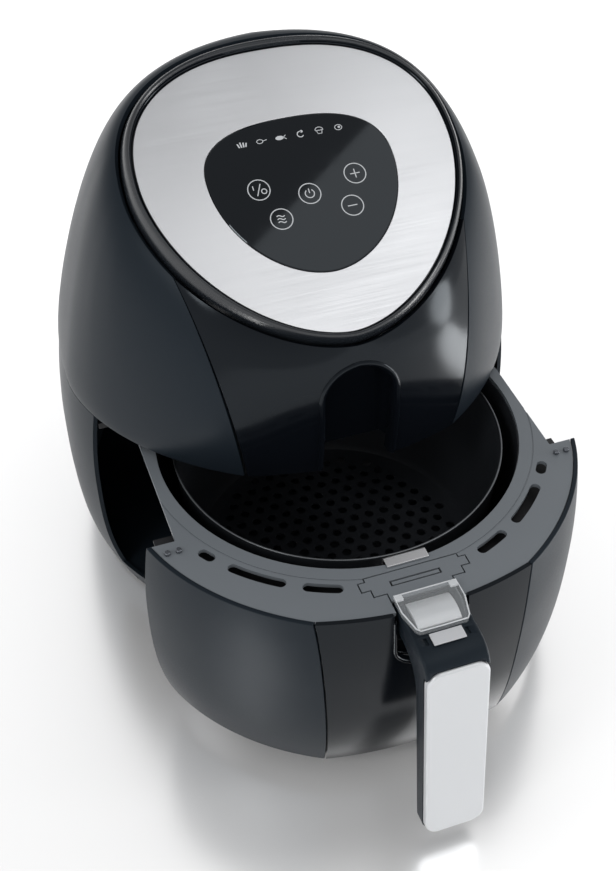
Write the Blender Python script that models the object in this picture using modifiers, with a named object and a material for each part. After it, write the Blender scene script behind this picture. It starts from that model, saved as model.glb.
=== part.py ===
"""Hot-air fryer with a pull-out drawer, a lift-out basket and a sloped touch panel.

Lengths are in millimetres; make_mesh and the placing helpers turn them into
metres. Drawer parts are drawn in their closed place and hang on an empty that
stands OUT in front of it. X is across, -Y is the front, Z is up.
"""
import math

import bmesh
import bpy
import numpy as np
from mathutils import Matrix, Vector

# ---------------------------------------------------------------- dimensions
MM = 0.001
GAP = 0.3                # clearance between fixed neighbours
SEAM = 0.4               # visible parting line
WALL = 2.4               # moulded wall

HALF_W = 138.3           # body half width at the lip
SIDE_Y = 15.0            # widest station of the body
FRONT_R = 131.0          # reach of the side curve to the front
REAR_R = 170.0           # reach of the side curve to the rear
FRONT_N = 1.75           # fullness of the front quarter
REAR_N = 2.15            # fullness of the rear quarter
FRONT_Y = -107.0         # middle of the front lip
CREASE_X = 61.5          # crease between the front and side faces, at the lip
CREASE_LOW = 9.0         # how far the crease runs in towards the foot
BULGE = 4.4
BULGE_Z = 95.0
FOOT_IN = 11.0
SPLIT_Y = -19.3          # where the drawer front meets the body

FOOT_H = 3.1
BASE_Z = 3.0
SILL_Z = 19.0
LIP_Z = 149.3
BASE_TOP = LIP_Z - SEAM

TILT = math.radians(29.18)
PLATE = dict(a=87.8, c=-10.5, up=70.2, dn=102.7, nu=2.4, nd=1.76)
GLASS = dict(a=52.4, c=-17.3, up=32.8, dn=60.7, nu=2.55, nd=1.88)
BEZEL_SIDE = 6.2
BEZEL_FRONT = 4.2

OUT = 106.0              # drawer opening as built
AXIS_Y = 31.8            # common axis of pan, basket, chamber and fan
DECK_TOP = 144.5
DECK_T = 2.5
RAIL_W = 7.0             # straight side edge of the deck that rides on its runner
RAIL_STOP = 4.0          # from the end of the rail edge to the end of the runner
DRAWER_Z = 20.4          # foot of the drawer front
DRAWER_TUCK = 4.4        # drawer face set in from the body at its ends
PAN_R = 104.5            # pan wall at its rim
PAN_LIP = 2.5            # rim of the pan that hangs under the deck
PAN_FLOOR = 25.0
PAN_T = 1.2
DECK_HALF = PAN_R + 6.3
RUNNER_IN = PAN_R + PAN_LIP + 0.7
BASKET_R = PAN_R - 8.6
BASKET_TOP = 140.2
BASKET_FLOOR = 45.0
BASKET_T = 1.0
STUD_AT = BASKET_R - 21.9
STUD_R = 4.0
HOLE_PITCH = 12.0
HOLE_R = 3.0
CHAMBER_R = BASKET_R + 3.1
CHAMBER_Z = 157.6
CHAMBER_TOP = 204.0
PANEL_Z = CHAMBER_TOP + 88.5     # height of the sloped panel above the body centre
COIL_R = CHAMBER_R - 17.0
SHAFT_R = 3.0
BRACKET_Z = CHAMBER_TOP + 22.0   # motor bracket above the chamber
BOARD_Y = 151.5

FASCIA_T = 2.6
HANDLE_HALF = 17.5
NOTCH_HALF = HANDLE_HALF + 3.0   # U-shaped recess behind the handle neck
NOTCH_Z = 106.0
NOTCH_DEEP = 14.0        # height of its round bottom
NOTCH_BACK = -92.6
ARCH_HALF = 22.5         # thumb niche in the front panel
ARCH_TOP = 221.0
OUTLET_X = 27.0
OUTLET_Z = (172.0, 206.0)
GLAND_Z = 34.0
PLATE_TOP = (-139.6, 143.0)
PLATE_LOW = (-156.4, 19.0)
PLATE_HALF = 15.7
BUTTON_Y = (-117.6, -99.6)
BUTTON_HALF = 12.1
STRIP_T = 1.2            # steel strip that carries the basket

GRIP_FRONT_Y = -158.5
GLAND_OUT = 8.0
REAR_Y = SIDE_Y + REAR_R
SHIFT_Y = -0.5 * (REAR_Y + GLAND_OUT + GRIP_FRONT_Y - OUT)

# ------------------------------------------------------------------ clean file
for old in list(bpy.data.objects):
    bpy.data.objects.remove(old, do_unlink=True)

parts = bpy.data.collections.new("air_fryer")
cutters = bpy.data.collections.new("cutters")
bpy.context.scene.collection.children.link(parts)
bpy.context.scene.collection.children.link(cutters)


# --------------------------------------------------------------------- helpers
def material(name, rgb, roughness, metallic=0.0, transmission=0.0):
    mat = bpy.data.materials.new(name)
    mat.use_nodes = True
    shader = mat.node_tree.nodes["Principled BSDF"]
    shader.inputs["Base Color"].default_value = (*rgb, 1.0)
    shader.inputs["Roughness"].default_value = roughness
    shader.inputs["Metallic"].default_value = metallic
    shader.inputs["Transmission Weight"].default_value = transmission
    return mat


def empty(name, at, parent=None):
    ob = bpy.data.objects.new(name, None)
    ob.location = Vector(at) * MM
    ob.parent = parent
    parts.objects.link(ob)
    return ob


def make_mesh(name, verts, faces, mat=None, parent=None, at=(0, 0, 0), smooth=32.0):
    mesh = bpy.data.meshes.new(name)
    mesh.from_pydata([Vector(v) * MM for v in verts], [], faces)
    bm = bmesh.new()
    bm.from_mesh(mesh)
    bmesh.ops.remove_doubles(bm, verts=bm.verts, dist=0.00002)
    bmesh.ops.recalc_face_normals(bm, faces=bm.faces)
    if bm.calc_volume(signed=True) < 0.0:
        bmesh.ops.reverse_faces(bm, faces=bm.faces)
    bm.to_mesh(mesh)
    bm.free()
    ob = bpy.data.objects.new(name, mesh)
    ob.location = Vector(at) * MM
    ob.parent = parent
    if mat is None:
        cutters.objects.link(ob)
        ob.hide_render = True
        ob.display_type = "WIRE"
    else:
        parts.objects.link(ob)
        mesh.materials.append(mat)
        mesh.shade_smooth()
        mesh.set_sharp_from_angle(angle=math.radians(smooth))
    return ob


def loft(name, loops, mat=None, parent=None, cyclic=False, **more):
    """Closed loops joined in order: capped at both ends, or closed on itself."""
    n = len(loops[0])
    verts = [v for loop in loops for v in loop]
    faces = []
    for k in range(len(loops) if cyclic else len(loops) - 1):
        a = k * n
        b = ((k + 1) % len(loops)) * n
        for i in range(n):
            j = (i + 1) % n
            faces.append((a + i, a + j, b + j, b + i))
    if not cyclic:
        faces.append(tuple(range(n))[::-1])
        faces.append(tuple(range((len(loops) - 1) * n, len(loops) * n)))
    return make_mesh(name, verts, faces, mat, parent, **more)


def slab(name, outer, inner, mat=None, parent=None, **more):
    """Two open grids of points (rows of equal length) closed round their rims."""
    rows = len(outer)
    cols = len(outer[0])
    verts = [v for row in outer for v in row] + [v for row in inner for v in row]
    shift = rows * cols
    faces = []
    for r in range(rows - 1):
        for c in range(cols - 1):
            a = r * cols + c
            faces.append((a, a + 1, a + cols + 1, a + cols))
            faces.append((shift + a, shift + a + cols, shift + a + cols + 1, shift + a + 1))
    rim = [c for c in range(cols)]
    rim += [r * cols + cols - 1 for r in range(1, rows)]
    rim += [(rows - 1) * cols + c for c in range(cols - 2, -1, -1)]
    rim += [r * cols for r in range(rows - 2, 0, -1)]
    for i, a in enumerate(rim):
        b = rim[(i + 1) % len(rim)]
        faces.append((a, shift + a, shift + b, b))
    return make_mesh(name, verts, faces, mat, parent, **more)


def prism(name, outline, z0, z1, mat=None, parent=None, **more):
    low = [(x, y, z0) for x, y in outline]
    high = [(x, y, z1) for x, y in outline]
    return loft(name, [low, high], mat, parent, **more)


def box(name, size, centre, mat=None, parent=None, **more):
    sx, sy, sz = (0.5 * s for s in size)
    cx, cy, cz = centre
    outline = [(cx - sx, cy - sy), (cx + sx, cy - sy), (cx + sx, cy + sy), (cx - sx, cy + sy)]
    return prism(name, outline, cz - sz, cz + sz, mat, parent, **more)


def cylinder(name, radius, z0, z1, centre=(0, 0), sides=32, **more):
    outline = [(centre[0] + radius * math.cos(2 * math.pi * i / sides),
                centre[1] + radius * math.sin(2 * math.pi * i / sides)) for i in range(sides)]
    return prism(name, outline, z0, z1, **more)


def revolve(name, profile, sides, mat=None, parent=None, at=(0, 0, 0), closed=True):
    """Profile points (radius, height), running down the outside."""
    mesh = bpy.data.meshes.new(name)
    n = len(profile)
    edges = [(i, (i + 1) % n) for i in range(n if closed else n - 1)]
    mesh.from_pydata([Vector((r, 0, z)) * MM for r, z in profile], edges, [])
    ob = bpy.data.objects.new(name, mesh)
    ob.location = Vector(at) * MM
    ob.parent = parent
    screw = ob.modifiers.new("Turn", "SCREW")
    screw.axis = "Z"
    screw.angle = 2 * math.pi
    screw.steps = sides
    screw.render_steps = sides
    screw.use_merge_vertices = True
    screw.merge_threshold = 0.00002
    screw.use_normal_calculate = False
    screw.use_smooth_shade = True
    if mat is None:
        cutters.objects.link(ob)
        ob.hide_render = True
        ob.display_type = "WIRE"
    else:
        parts.objects.link(ob)
        mesh.materials.append(mat)
    return ob


def boolean(ob, other, operation="DIFFERENCE"):
    mod = ob.modifiers.new(operation.title(), "BOOLEAN")
    mod.operation = operation
    mod.solver = "EXACT"
    mod.object = other
    return ob


def bevel(ob, width, segments=2, angle=40.0):
    mod = ob.modifiers.new("Edge", "BEVEL")
    mod.width = width * MM
    mod.segments = segments
    mod.limit_method = "ANGLE"
    mod.angle_limit = math.radians(angle)
    mod.harden_normals = False
    return ob


def merged(name, solids):
    """One cutter or add-on mesh out of several separate solids."""
    bm = bmesh.new()
    for ob in solids:
        base = ob.data.copy()
        base.transform(Matrix.Translation(ob.location))
        bm.from_mesh(base)
        bpy.data.objects.remove(ob, do_unlink=True)
    mesh = bpy.data.meshes.new(name)
    bm.to_mesh(mesh)
    bm.free()
    ob = bpy.data.objects.new(name, mesh)
    ob.hide_render = True
    ob.display_type = "WIRE"
    cutters.objects.link(ob)
    return ob


def mirror_x(points):
    """Half outline with x >= 0, made whole; points on the axis are kept once."""
    other = [(-p[0], *p[1:]) for p in reversed(points) if p[0] > 1e-6]
    return list(points) + other


def lerp(a, b, t):
    return tuple(p + (q - p) * t for p, q in zip(a, b))


def signed_pow(value, power):
    return math.copysign(abs(value) ** power, value)


# ------------------------------------------------------------------ body skins
def grow(z):
    """Outward swell of the body side at a height, against the lip."""
    if z >= BULGE_Z:
        return BULGE * (1.0 - ((z - BULGE_Z) / (LIP_Z - BULGE_Z)) ** 2)
    return BULGE - (BULGE + FOOT_IN) * ((BULGE_Z - z) / BULGE_Z) ** 2.8


def crease_x(z, inset=0.0):
    drop = max(0.0, LIP_Z - z) / LIP_Z
    return CREASE_X - CREASE_LOW * drop ** 0.6 - 0.55 * inset


def side_point(t, z, inset=0.0):
    g = grow(z) - inset
    if t < 0:
        x = (HALF_W + g) * abs(math.cos(t)) ** (2 / FRONT_N)
        y = SIDE_Y + (FRONT_R + g) * signed_pow(math.sin(t), 2 / FRONT_N)
    else:
        x = (HALF_W + g) * abs(math.cos(t)) ** (2 / REAR_N)
        y = SIDE_Y + (REAR_R + g) * signed_pow(math.sin(t), 2 / REAR_N)
    return (max(x, 0.0) if x > 1e-4 else 0.0, y, z)


def crease_t(z, inset=0.0):
    g = grow(z) - inset
    return -math.acos((crease_x(z, inset) / (HALF_W + g)) ** (FRONT_N / 2))


def split_t(z, inset=0.0, y=SPLIT_Y):
    g = grow(z) - inset
    return -math.asin(((SIDE_Y - y) / (FRONT_R + g)) ** (FRONT_N / 2))


def skin(region, f, z, inset=0.0, end_y=SPLIT_Y):
    """Point of the lower body: region front (middle to crease), side, drawer or rear."""
    if region == "front":
        corner = side_point(crease_t(z, inset), z, inset)
        middle = FRONT_Y - grow(z) + inset
        return (corner[0] * f, middle + (corner[1] - middle) * f * f, z)
    t0 = crease_t(z, inset)
    t1 = split_t(z, inset, end_y)
    if region == "side":
        return side_point(t0 + (t1 - t0) * f, z, inset)
    if region == "drawer":
        x, y, z = side_point(t0 + (t1 - t0) * f, z, inset)
        return (x - DRAWER_TUCK * f * f, y, z)
    return side_point(t1 + (0.5 * math.pi - t1) * f, z, inset)


def body_loop(z, inset=0.0, front=4, side=5, rear=10):
    half = [skin("front", i / front, z, inset) for i in range(front)]
    half += [skin("side", i / side, z, inset) for i in range(side)]
    half += [skin("rear", i / rear, z, inset) for i in range(rear + 1)]
    return mirror_x(half)


def egg(t, shape, side=0.0, front=0.0, rear=None):
    """Point (x, s) of a rounded triangular outline; t runs front to rear."""
    rear = side if rear is None else rear
    a = shape["a"] + side
    if t < 0:
        x = a * abs(math.cos(t)) ** (2 / shape["nd"])
        s = shape["c"] + (shape["dn"] + front) * signed_pow(math.sin(t), 2 / shape["nd"])
    else:
        x = a * abs(math.cos(t)) ** (2 / shape["nu"])
        s = shape["c"] + (shape["up"] + rear) * signed_pow(math.sin(t), 2 / shape["nu"])
    return (x if x > 1e-4 else 0.0, s)


def on_slope(x, s, h):
    """Point of the sloped panel: x across, s up the slope, h above it."""
    return (x, s * math.cos(TILT) - h * math.sin(TILT),
            PANEL_Z + s * math.sin(TILT) + h * math.cos(TILT))


RING_CREASE_T = -0.52
RIM_FRONT = -3.5         # height of the shell edge against the sloped panel
RIM_SIDE = -8.0
RIM_REAR = -1.0
HEART = (0.0, 20.0, PANEL_Z - 102.5)
CREASE_LOW_ARM = (6.5, -9.5, 46.0)
CREASE_TOP_ARM = (-7.0, -26.0, -20.0)
MIDDLE_LOW_ARM = (0.0, -2.5, 29.0)
MIDDLE_TOP_ARM = (0.0, -6.5, -21.0)


def rim_height(region, f):
    if region == "front":
        return RIM_FRONT + (RIM_SIDE - RIM_FRONT) * f * f
    return RIM_SIDE + (RIM_REAR - RIM_SIDE) * max(0.0, (f - 0.3) / 0.7)


def rim_at(t):
    """Height of the shell edge at a station of the bezel."""
    if t < RING_CREASE_T:
        return rim_height("front", (t + 0.5 * math.pi) / (RING_CREASE_T + 0.5 * math.pi))
    return rim_height("side", ((t - RING_CREASE_T) / (0.5 * math.pi - RING_CREASE_T)) ** (1 / 1.12))


def upper_outer(region, f, v):
    """Outer point of the upper body between the lip (v = 0) and the bezel (v = 1)."""
    if region == "front":
        low = Vector(skin("front", f, LIP_Z))
        t = -0.5 * math.pi + (RING_CREASE_T + 0.5 * math.pi) * f
    else:
        t0 = crease_t(LIP_Z)
        low = Vector(side_point(t0 + (0.5 * math.pi - t0) * f, LIP_Z))
        t = RING_CREASE_T + (0.5 * math.pi - RING_CREASE_T) * f ** 1.12
    reach = SEAM + WALL
    x, s = egg(t, PLATE, BEZEL_SIDE + reach, BEZEL_FRONT + reach)
    top = Vector(on_slope(x, s, rim_height(region, f)))
    if region == "front":
        arm_low = Vector(lerp(MIDDLE_LOW_ARM, CREASE_LOW_ARM, f))
        arm_top = Vector(lerp(MIDDLE_TOP_ARM, CREASE_TOP_ARM, f))
    else:
        rise = top.z - low.z
        away = Vector((top.x, top.y + 8.0, 0.0)).normalized()
        back = max(0.0, min(1.0, (f - 0.45) / 0.55))
        plain_low = Vector((0.0, 0.0, 0.08 * rise)) + Vector((low.x, low.y, 0)).normalized() * 2.2
        plain_top = away * (23.0 + 13.0 * back) + Vector((0, 0, -14.0 + 20.0 * back))
        blend = max(0.0, 1.0 - f / 0.22)
        blend = blend * blend * (3 - 2 * blend)
        arm_low = plain_low.lerp(Vector(CREASE_LOW_ARM), blend)
        arm_top = plain_top.lerp(Vector(CREASE_TOP_ARM), blend)
    p0 = low
    p1 = low + arm_low
    p2 = top + arm_top
    u = 1.0 - v
    p = p0 * u ** 3 + p1 * (3 * u * u * v) + p2 * (3 * u * v * v) + top * v ** 3
    if abs(p.x) < 1e-3:
        p.x = 0.0
    return p


def upper_skin(region, f, v, inset=0.0):
    """Point of the upper body, set in towards the heart of the body."""
    p = upper_outer(region, f, v)
    if inset > 0.0:
        away = p - Vector(HEART)
        if v == 0.0:
            away.z = 0.0
        p = p - away.normalized() * inset
    return (p.x, p.y, p.z)


# ------------------------------------------------------------------- materials
slate = material("slate_plastic", (0.052, 0.059, 0.068), 0.42)
gloss = material("gloss_black_plastic", (0.010, 0.011, 0.013), 0.10)
satin_grey = material("satin_grey_plastic", (0.150, 0.160, 0.180), 0.38)
dark = material("dark_inner_plastic", (0.018, 0.018, 0.020), 0.55)
brushed = material("brushed_aluminium", (0.62, 0.63, 0.65), 0.33, 1.0)
glass = material("touch_glass", (0.012, 0.013, 0.016), 0.06)
silver = material("silver_lacquer", (0.72, 0.73, 0.75), 0.28, 0.6)
clear = material("clear_plastic", (0.93, 0.94, 0.95), 0.08, 0.0, 0.9)
steel = material("sheet_steel", (0.55, 0.55, 0.56), 0.32, 1.0)
nonstick = material("nonstick_coating", (0.016, 0.017, 0.019), 0.46)
element = material("heating_element", (0.23, 0.21, 0.20), 0.5, 0.9)
board = material("circuit_board", (0.02, 0.10, 0.05), 0.5)
rubber = material("foot_rubber", (0.03, 0.03, 0.03), 0.85)
motor_steel = material("motor_steel", (0.30, 0.30, 0.31), 0.45, 0.9)

root = empty("air_fryer_root", (0, SHIFT_Y, 0))
drawer = empty("drawer_carriage", (0, -OUT, 0), root)
lifter = empty("basket_carriage", (0, 0, 0), drawer)
slope = empty("panel_slope", (0, 0, PANEL_Z), root)
slope.rotation_euler = (TILT, 0, 0)
rotor = empty("rotor_axis", (0, AXIS_Y, 0), root)

# ------------------------------------------------------------------ base shell
LEVELS = (BASE_Z, 6.5, 12.0, SILL_Z, 32.0, 52.0, 80.0, 112.0, BASE_TOP)
base_shell = loft("base_shell", [body_loop(z) for z in LEVELS], slate, root)
inside_z = (16.0, 32.0, 52.0, 80.0, 112.0, BASE_TOP + 4.0)
boolean(base_shell, loft("cut_base_inside", [body_loop(z, WALL) for z in inside_z], parent=root))
boolean(base_shell, loft("cut_base_under", [body_loop(z, WALL) for z in (BASE_Z - 2, 7.0, 13.5)], parent=root))
boolean(base_shell, box("cut_drawer_mouth", (320, 300, 160), (0, SPLIT_Y - 150, SILL_Z + 80), parent=root))
boolean(base_shell, box("cut_sill_step", (210, 60, 40), (0, SPLIT_Y - 75, 16.0 + 20), parent=root))
gland_hole = cylinder("cut_gland_hole", 6.3, -30, 30, sides=24, parent=root)
gland_hole.rotation_euler = (math.pi / 2, 0, 0)
gland_hole.location = Vector((0, REAR_Y, GLAND_Z)) * MM
boolean(base_shell, gland_hole)

cord_gland = revolve("cord_gland", [(5.9, 7.5), (6.8, GLAND_OUT + 4.0), (9.2, GLAND_OUT + 3.0), (9.6, 7.6),
                                    (9.6, 6.4), (5.9, 6.4), (5.9, -1.0), (3.4, -1.0), (3.4, 7.5)],
                     24, rubber, root)
cord_gland.rotation_euler = (-math.pi / 2, 0, 0)
cord_gland.location = Vector((0, REAR_Y - 4.0, GLAND_Z)) * MM

bottom_cover = loft("bottom_cover", [body_loop(z, WALL + 0.5) for z in (3.4, 5.4)], dark, root)
vents = []
for i in range(7):
    vents.append(box("vent", (4.0, 60.0, 10.0), (-36.0 + 12.0 * i, 40.0, 4.4)))
boolean(bottom_cover, merged("cut_bottom_vents", vents))
bpy.data.objects["cut_bottom_vents"].parent = root

for fx, fy, label in ((-80, -46, "front_left"), (80, -46, "front_right"),
                      (-82, 112, "rear_left"), (82, 112, "rear_right")):
    foot = cylinder("foot_" + label, 9.0, 0.0, FOOT_H, (fx, fy), 24, mat=rubber, parent=root)
    bevel(foot, 0.6, 1)

# ---------------------------------------------------------- runners, mid plate
RUN_TOP = DECK_TOP - DECK_T - GAP
RUN_END = skin("rear", 0.5, RUN_TOP, WALL + 2 * SEAM)[1]
for sign, label in ((-1, "left"), (1, "right")):
    edge = [skin("rear", i / 10, RUN_TOP, WALL + 2 * SEAM)[:2] for i in range(6)]
    outline = [(RUNNER_IN, edge[0][1])] + edge + [(RUNNER_IN, edge[-1][1])]
    outline = [(sign * x, y) for x, y in outline]
    prism("runner_" + label, outline, RUN_TOP - 4.0, RUN_TOP, dark, root)

half = mirror_x([skin("rear", i / 10, BASE_TOP, WALL + 2 * SEAM)[:2] for i in range(11)])
mid_plate = prism("mid_plate", half, 147.4, 149.0, dark, root)
boolean(mid_plate, cylinder("cut_mid_hole", CHAMBER_R + 0.6, 140, 152, (0, AXIS_Y), 48, parent=root))
collar_angles = [-0.42 + (math.pi + 0.84) * i / 32 for i in range(33)]
collar = [((CHAMBER_R + r) * math.cos(a), AXIS_Y + (CHAMBER_R + r) * math.sin(a))
          for r, run in ((0.9, collar_angles), (2.9, collar_angles[::-1])) for a in run]
boolean(mid_plate, prism("add_chamber_collar", collar, 147.8, CHAMBER_Z - GAP, parent=root), "UNION")

# ------------------------------------------------------------- cooking chamber
chamber = revolve("cooking_chamber", [
    (8.0, CHAMBER_TOP), (CHAMBER_R - 14, CHAMBER_TOP), (CHAMBER_R - 4, CHAMBER_TOP - 4),
    (CHAMBER_R + 1, CHAMBER_TOP - 14), (CHAMBER_R + 1, CHAMBER_Z + 1), (CHAMBER_R + 3.0, CHAMBER_Z + 1),
    (CHAMBER_R + 3.0, CHAMBER_Z), (CHAMBER_R, CHAMBER_Z), (CHAMBER_R, CHAMBER_TOP - 14.5),
    (CHAMBER_R - 5, CHAMBER_TOP - 5), (CHAMBER_R - 14.4, CHAMBER_TOP - 1), (8.0, CHAMBER_TOP - 1)],
    40, steel, root, (0, AXIS_Y, 0))

turns = 2.25
coil_z = CHAMBER_TOP - 32.0
leg_r = COIL_R + 8.0
coil = [(leg_r, 0.0, CHAMBER_TOP - 5.1), (leg_r, 0.0, coil_z + 6.0), (leg_r - 4.0, 0.0, coil_z + 1.0)]
for i in range(41):
    coil.append((COIL_R - i, 2 * math.pi * turns * i / 40 + 0.06, coil_z))
last = coil[-1][1] + 0.12
coil += [(COIL_R - 43.0, last, coil_z - 4.0), (COIL_R - 40.0, last, coil_z - 8.5),
         (COIL_R + 2.0, last, coil_z - 8.5),
         (leg_r, last, coil_z - 4.0), (leg_r, last, CHAMBER_TOP - 5.1)]
heat = bpy.data.curves.new("heating_coil", "CURVE")
heat.dimensions = "3D"
heat.bevel_depth = 3.2 * MM
heat.bevel_resolution = 1
heat.use_fill_caps = True
path = heat.splines.new("POLY")
path.points.add(len(coil) - 1)
for point, (r, a, z) in zip(path.points, coil):
    point.co = (r * math.cos(a) * MM, r * math.sin(a) * MM, z * MM, 1.0)
heating_coil = bpy.data.objects.new("heating_coil", heat)
heating_coil.location = Vector((0, AXIS_Y, 0)) * MM
heating_coil.parent = root
heat.materials.append(element)
parts.objects.link(heating_coil)

cylinder("thermal_cutout", 8.0, CHAMBER_TOP + GAP, CHAMBER_TOP + 9, (-74.0, AXIS_Y + 10.0), 20,
         mat=motor_steel,
         parent=root)
probe = cylinder("temperature_probe", 2.4, -8.0, 8.0, sides=12, mat=steel, parent=root)
probe.rotation_euler = (0, math.pi / 2, 0)
probe.location = Vector((-(CHAMBER_R - 8.4), AXIS_Y, CHAMBER_TOP - 22.0)) * MM

# ---------------------------------------------------------- motor and two fans
bracket = cylinder("motor_bracket", 64.0, BRACKET_Z, BRACKET_Z + 1.6, (0, AXIS_Y), 36, mat=steel, parent=root)
for i in range(4):
    a = math.pi / 4 + math.pi / 2 * i
    leg = box("add_leg_%d" % i, (5.0, 12.0, BRACKET_Z - CHAMBER_TOP),
              (60.5, 0, 0.5 * (BRACKET_Z + CHAMBER_TOP) + GAP), parent=root)
    leg.location = Vector((0, AXIS_Y, 0)) * MM
    leg.rotation_euler = (0, 0, a)
    boolean(bracket, leg, "UNION")
boolean(bracket, cylinder("cut_bracket_hole", 9.0, BRACKET_Z - 26, BRACKET_Z + 34, (0, AXIS_Y), 24,
                          parent=root))

revolve("motor", [(SHAFT_R + 0.5, BRACKET_Z + 36), (9.0, BRACKET_Z + 36), (9.0, BRACKET_Z + 32),
                  (29.0, BRACKET_Z + 32), (31.0, BRACKET_Z + 30), (31.0, BRACKET_Z + 5.5),
                  (29.0, BRACKET_Z + 1.9), (SHAFT_R + 0.5, BRACKET_Z + 1.9)],
        36, motor_steel, root, (0, AXIS_Y, 0))

revolve("motor_shaft", [(0.0, BRACKET_Z + 40), (SHAFT_R - 0.4, BRACKET_Z + 40), (SHAFT_R, BRACKET_Z + 39),
                        (SHAFT_R, CHAMBER_TOP - 21), (0.0, CHAMBER_TOP - 21)],
        16, steel, rotor, closed=False)


def impeller(name, radius, z0, z1, blades, mat):
    hub = revolve(name, [(SHAFT_R + GAP, z1), (radius, z1), (radius, z1 - 1.2), (8.0, z1 - 1.2),
                         (8.0, z0), (SHAFT_R + GAP, z0)], 32, mat, rotor)
    fins = []
    for i in range(blades):
        fin = box("fin", (radius - 9.0, 1.2, z1 - z0 - 1.6), (0.5 * (radius + 5.0), 0, 0.5 * (z0 + z1 - 0.8)))
        fin.data.transform(Matrix.Rotation(2 * math.pi * i / blades, 4, "Z"))
        fins.append(fin)
    extra = merged("add_fins_" + name, fins)
    extra.parent = rotor
    return boolean(hub, extra, "UNION")


impeller("hot_air_fan", 60.0, CHAMBER_TOP - 18, CHAMBER_TOP - 5, 8, steel)
impeller("cooling_fan", 50.0, CHAMBER_TOP + 6, CHAMBER_TOP + 18, 8, dark)

# ------------------------------------------------------------------ electronics
power_board = box("power_board", (84.0, 25.0, 1.6), (0, BOARD_Y, 153.8), board, root)
pieces = [box("p", (6, 6, 4.2), (sx * 38, BOARD_Y + sy * 8.5, 151.4)) for sx in (-1, 1) for sy in (-1, 1)]
pieces += [box("p", (24, 18, 16), (-26, BOARD_Y, 162)), box("p", (17, 17, 12), (2, BOARD_Y, 160)),
           box("p", (12, 16, 18), (28, BOARD_Y, 163))]
blocks = merged("add_board_blocks", pieces)
blocks.parent = root
boolean(power_board, blocks, "UNION")

switch = box("drawer_switch", (20.0, 8.0, 9.0), (40.0, 146.0, 142.4), dark, root)
lever = box("add_switch_lever", (14.0, 9.0, 1.2), (40.0, 139.9, 141.0), parent=root)
boolean(switch, lever, "UNION")

# ------------------------------------------------------------------ upper shell
ROWS = [i / 7 for i in range(8)]
TRIM = 0.006


def upper_grid(region, stops, inset):
    return [[upper_skin(region, f, v, inset) for f in stops] for v in ROWS]


def mirrored(grid):
    return [[(-p[0], p[1], p[2]) for p in reversed(row)] + row[1:] for row in grid]


def wrapped(grid):
    return [row + [(-p[0], p[1], p[2]) for p in reversed(row[:-1])] for row in grid]


side_stops = [TRIM * 0.7] + [0.05, 0.10, 0.16, 0.22] + [0.22 + 0.78 * i / 12 for i in range(1, 13)]
front_stops = [0.0, 0.16, 0.33, 0.5, 0.67, 0.84, 1.0 - TRIM]
side_shell = slab("side_shell", wrapped(upper_grid("side", side_stops, 0.0)),
                  wrapped(upper_grid("side", side_stops, WALL)), slate, root)
mid_z = 0.5 * (OUTLET_Z[0] + OUTLET_Z[1])
window = box("cut_outlet_window", (2 * OUTLET_X + 2 * GAP, 120, OUTLET_Z[1] - OUTLET_Z[0] + 2 * GAP),
             (0, REAR_Y, mid_z), parent=root)
boolean(side_shell, window)
outlet = slab("outlet_grille", wrapped(upper_grid("side", side_stops[-6:], 0.0)),
              wrapped(upper_grid("side", side_stops[-6:], WALL)), dark, root)
boolean(outlet, box("keep_outlet", (2 * OUTLET_X, 120, OUTLET_Z[1] - OUTLET_Z[0]), (0, REAR_Y, mid_z),
                    parent=root), "INTERSECT")
slots = [box("slot", (44.0, 140.0, 2.6), (0, REAR_Y, OUTLET_Z[0] + 5.0 + 4.8 * i)) for i in range(6)]
slot_cut = merged("cut_outlet_slots", slots)
slot_cut.parent = root
boolean(outlet, slot_cut)

front_panel = slab("front_panel", mirrored(upper_grid("front", front_stops, 0.0)),
                   mirrored(upper_grid("front", front_stops, WALL)), gloss, root)


def arch(half_width, top, bottom, steps=14):
    spring = top - half_width
    points = [(half_width * math.cos(math.pi * i / steps), spring + half_width * math.sin(math.pi * i / steps))
              for i in range(steps + 1)]
    return [(half_width, bottom)] + points + [(-half_width, bottom)]


def arch_loop(half_width, top, bottom, y, lean=0.0):
    return [(x, y + lean * (z - LIP_Z), z) for x, z in arch(half_width, top, bottom)]


boolean(front_panel, loft("cut_arch", [arch_loop(ARCH_HALF, ARCH_TOP, LIP_Z - 4, y) for y in (-130, -90)],
                          parent=root))
niche = loft("thumb_niche", [
    arch_loop(ARCH_HALF + 1.6, ARCH_TOP + 1.6, LIP_Z + 8, -103.5, 0.036),
    arch_loop(ARCH_HALF + 1.6, ARCH_TOP + 1.6, LIP_Z + 8, -91.6)], gloss, root)
boolean(niche, loft("cut_niche", [
    arch_loop(ARCH_HALF - 0.4, ARCH_TOP - 0.4, LIP_Z - 4, -125.0),
    arch_loop(ARCH_HALF - 0.4, ARCH_TOP - 0.4, LIP_Z - 4, -102.0),
    arch_loop(ARCH_HALF - 5.0, ARCH_TOP - 5.0, LIP_Z - 4, -93.6)], parent=root))

# ---------------------------------------------------------------- sloped panel
FRONT_TS = [-0.5 * math.pi + 0.5 * math.pi * i / 13 for i in range(13)]
REAR_TS = [0.5 * math.pi * i / 10 for i in range(11)]


def egg_loop(shape, h, side=0.0, front=None):
    front = side if front is None else front
    half_loop = [egg(t, shape, side, front) for t in FRONT_TS + REAR_TS]
    half_loop[0] = (0.0, half_loop[0][1])
    return mirror_x([(x, s, h) for x, s in half_loop])


def bezel_loop(q, h, follow=0.0):
    """Loop round the plate at a share q of the bezel width; follow ties it to the shell edge."""
    loop = egg_loop(PLATE, h, q, q if q <= 0 else q * BEZEL_FRONT / BEZEL_SIDE)
    rise = [follow * rim_at(t) for t in FRONT_TS + REAR_TS]
    rise = rise + rise[len(rise) - 2:0:-1]
    return [(x, s, z + r) for (x, s, z), r in zip(loop, rise)]


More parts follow.
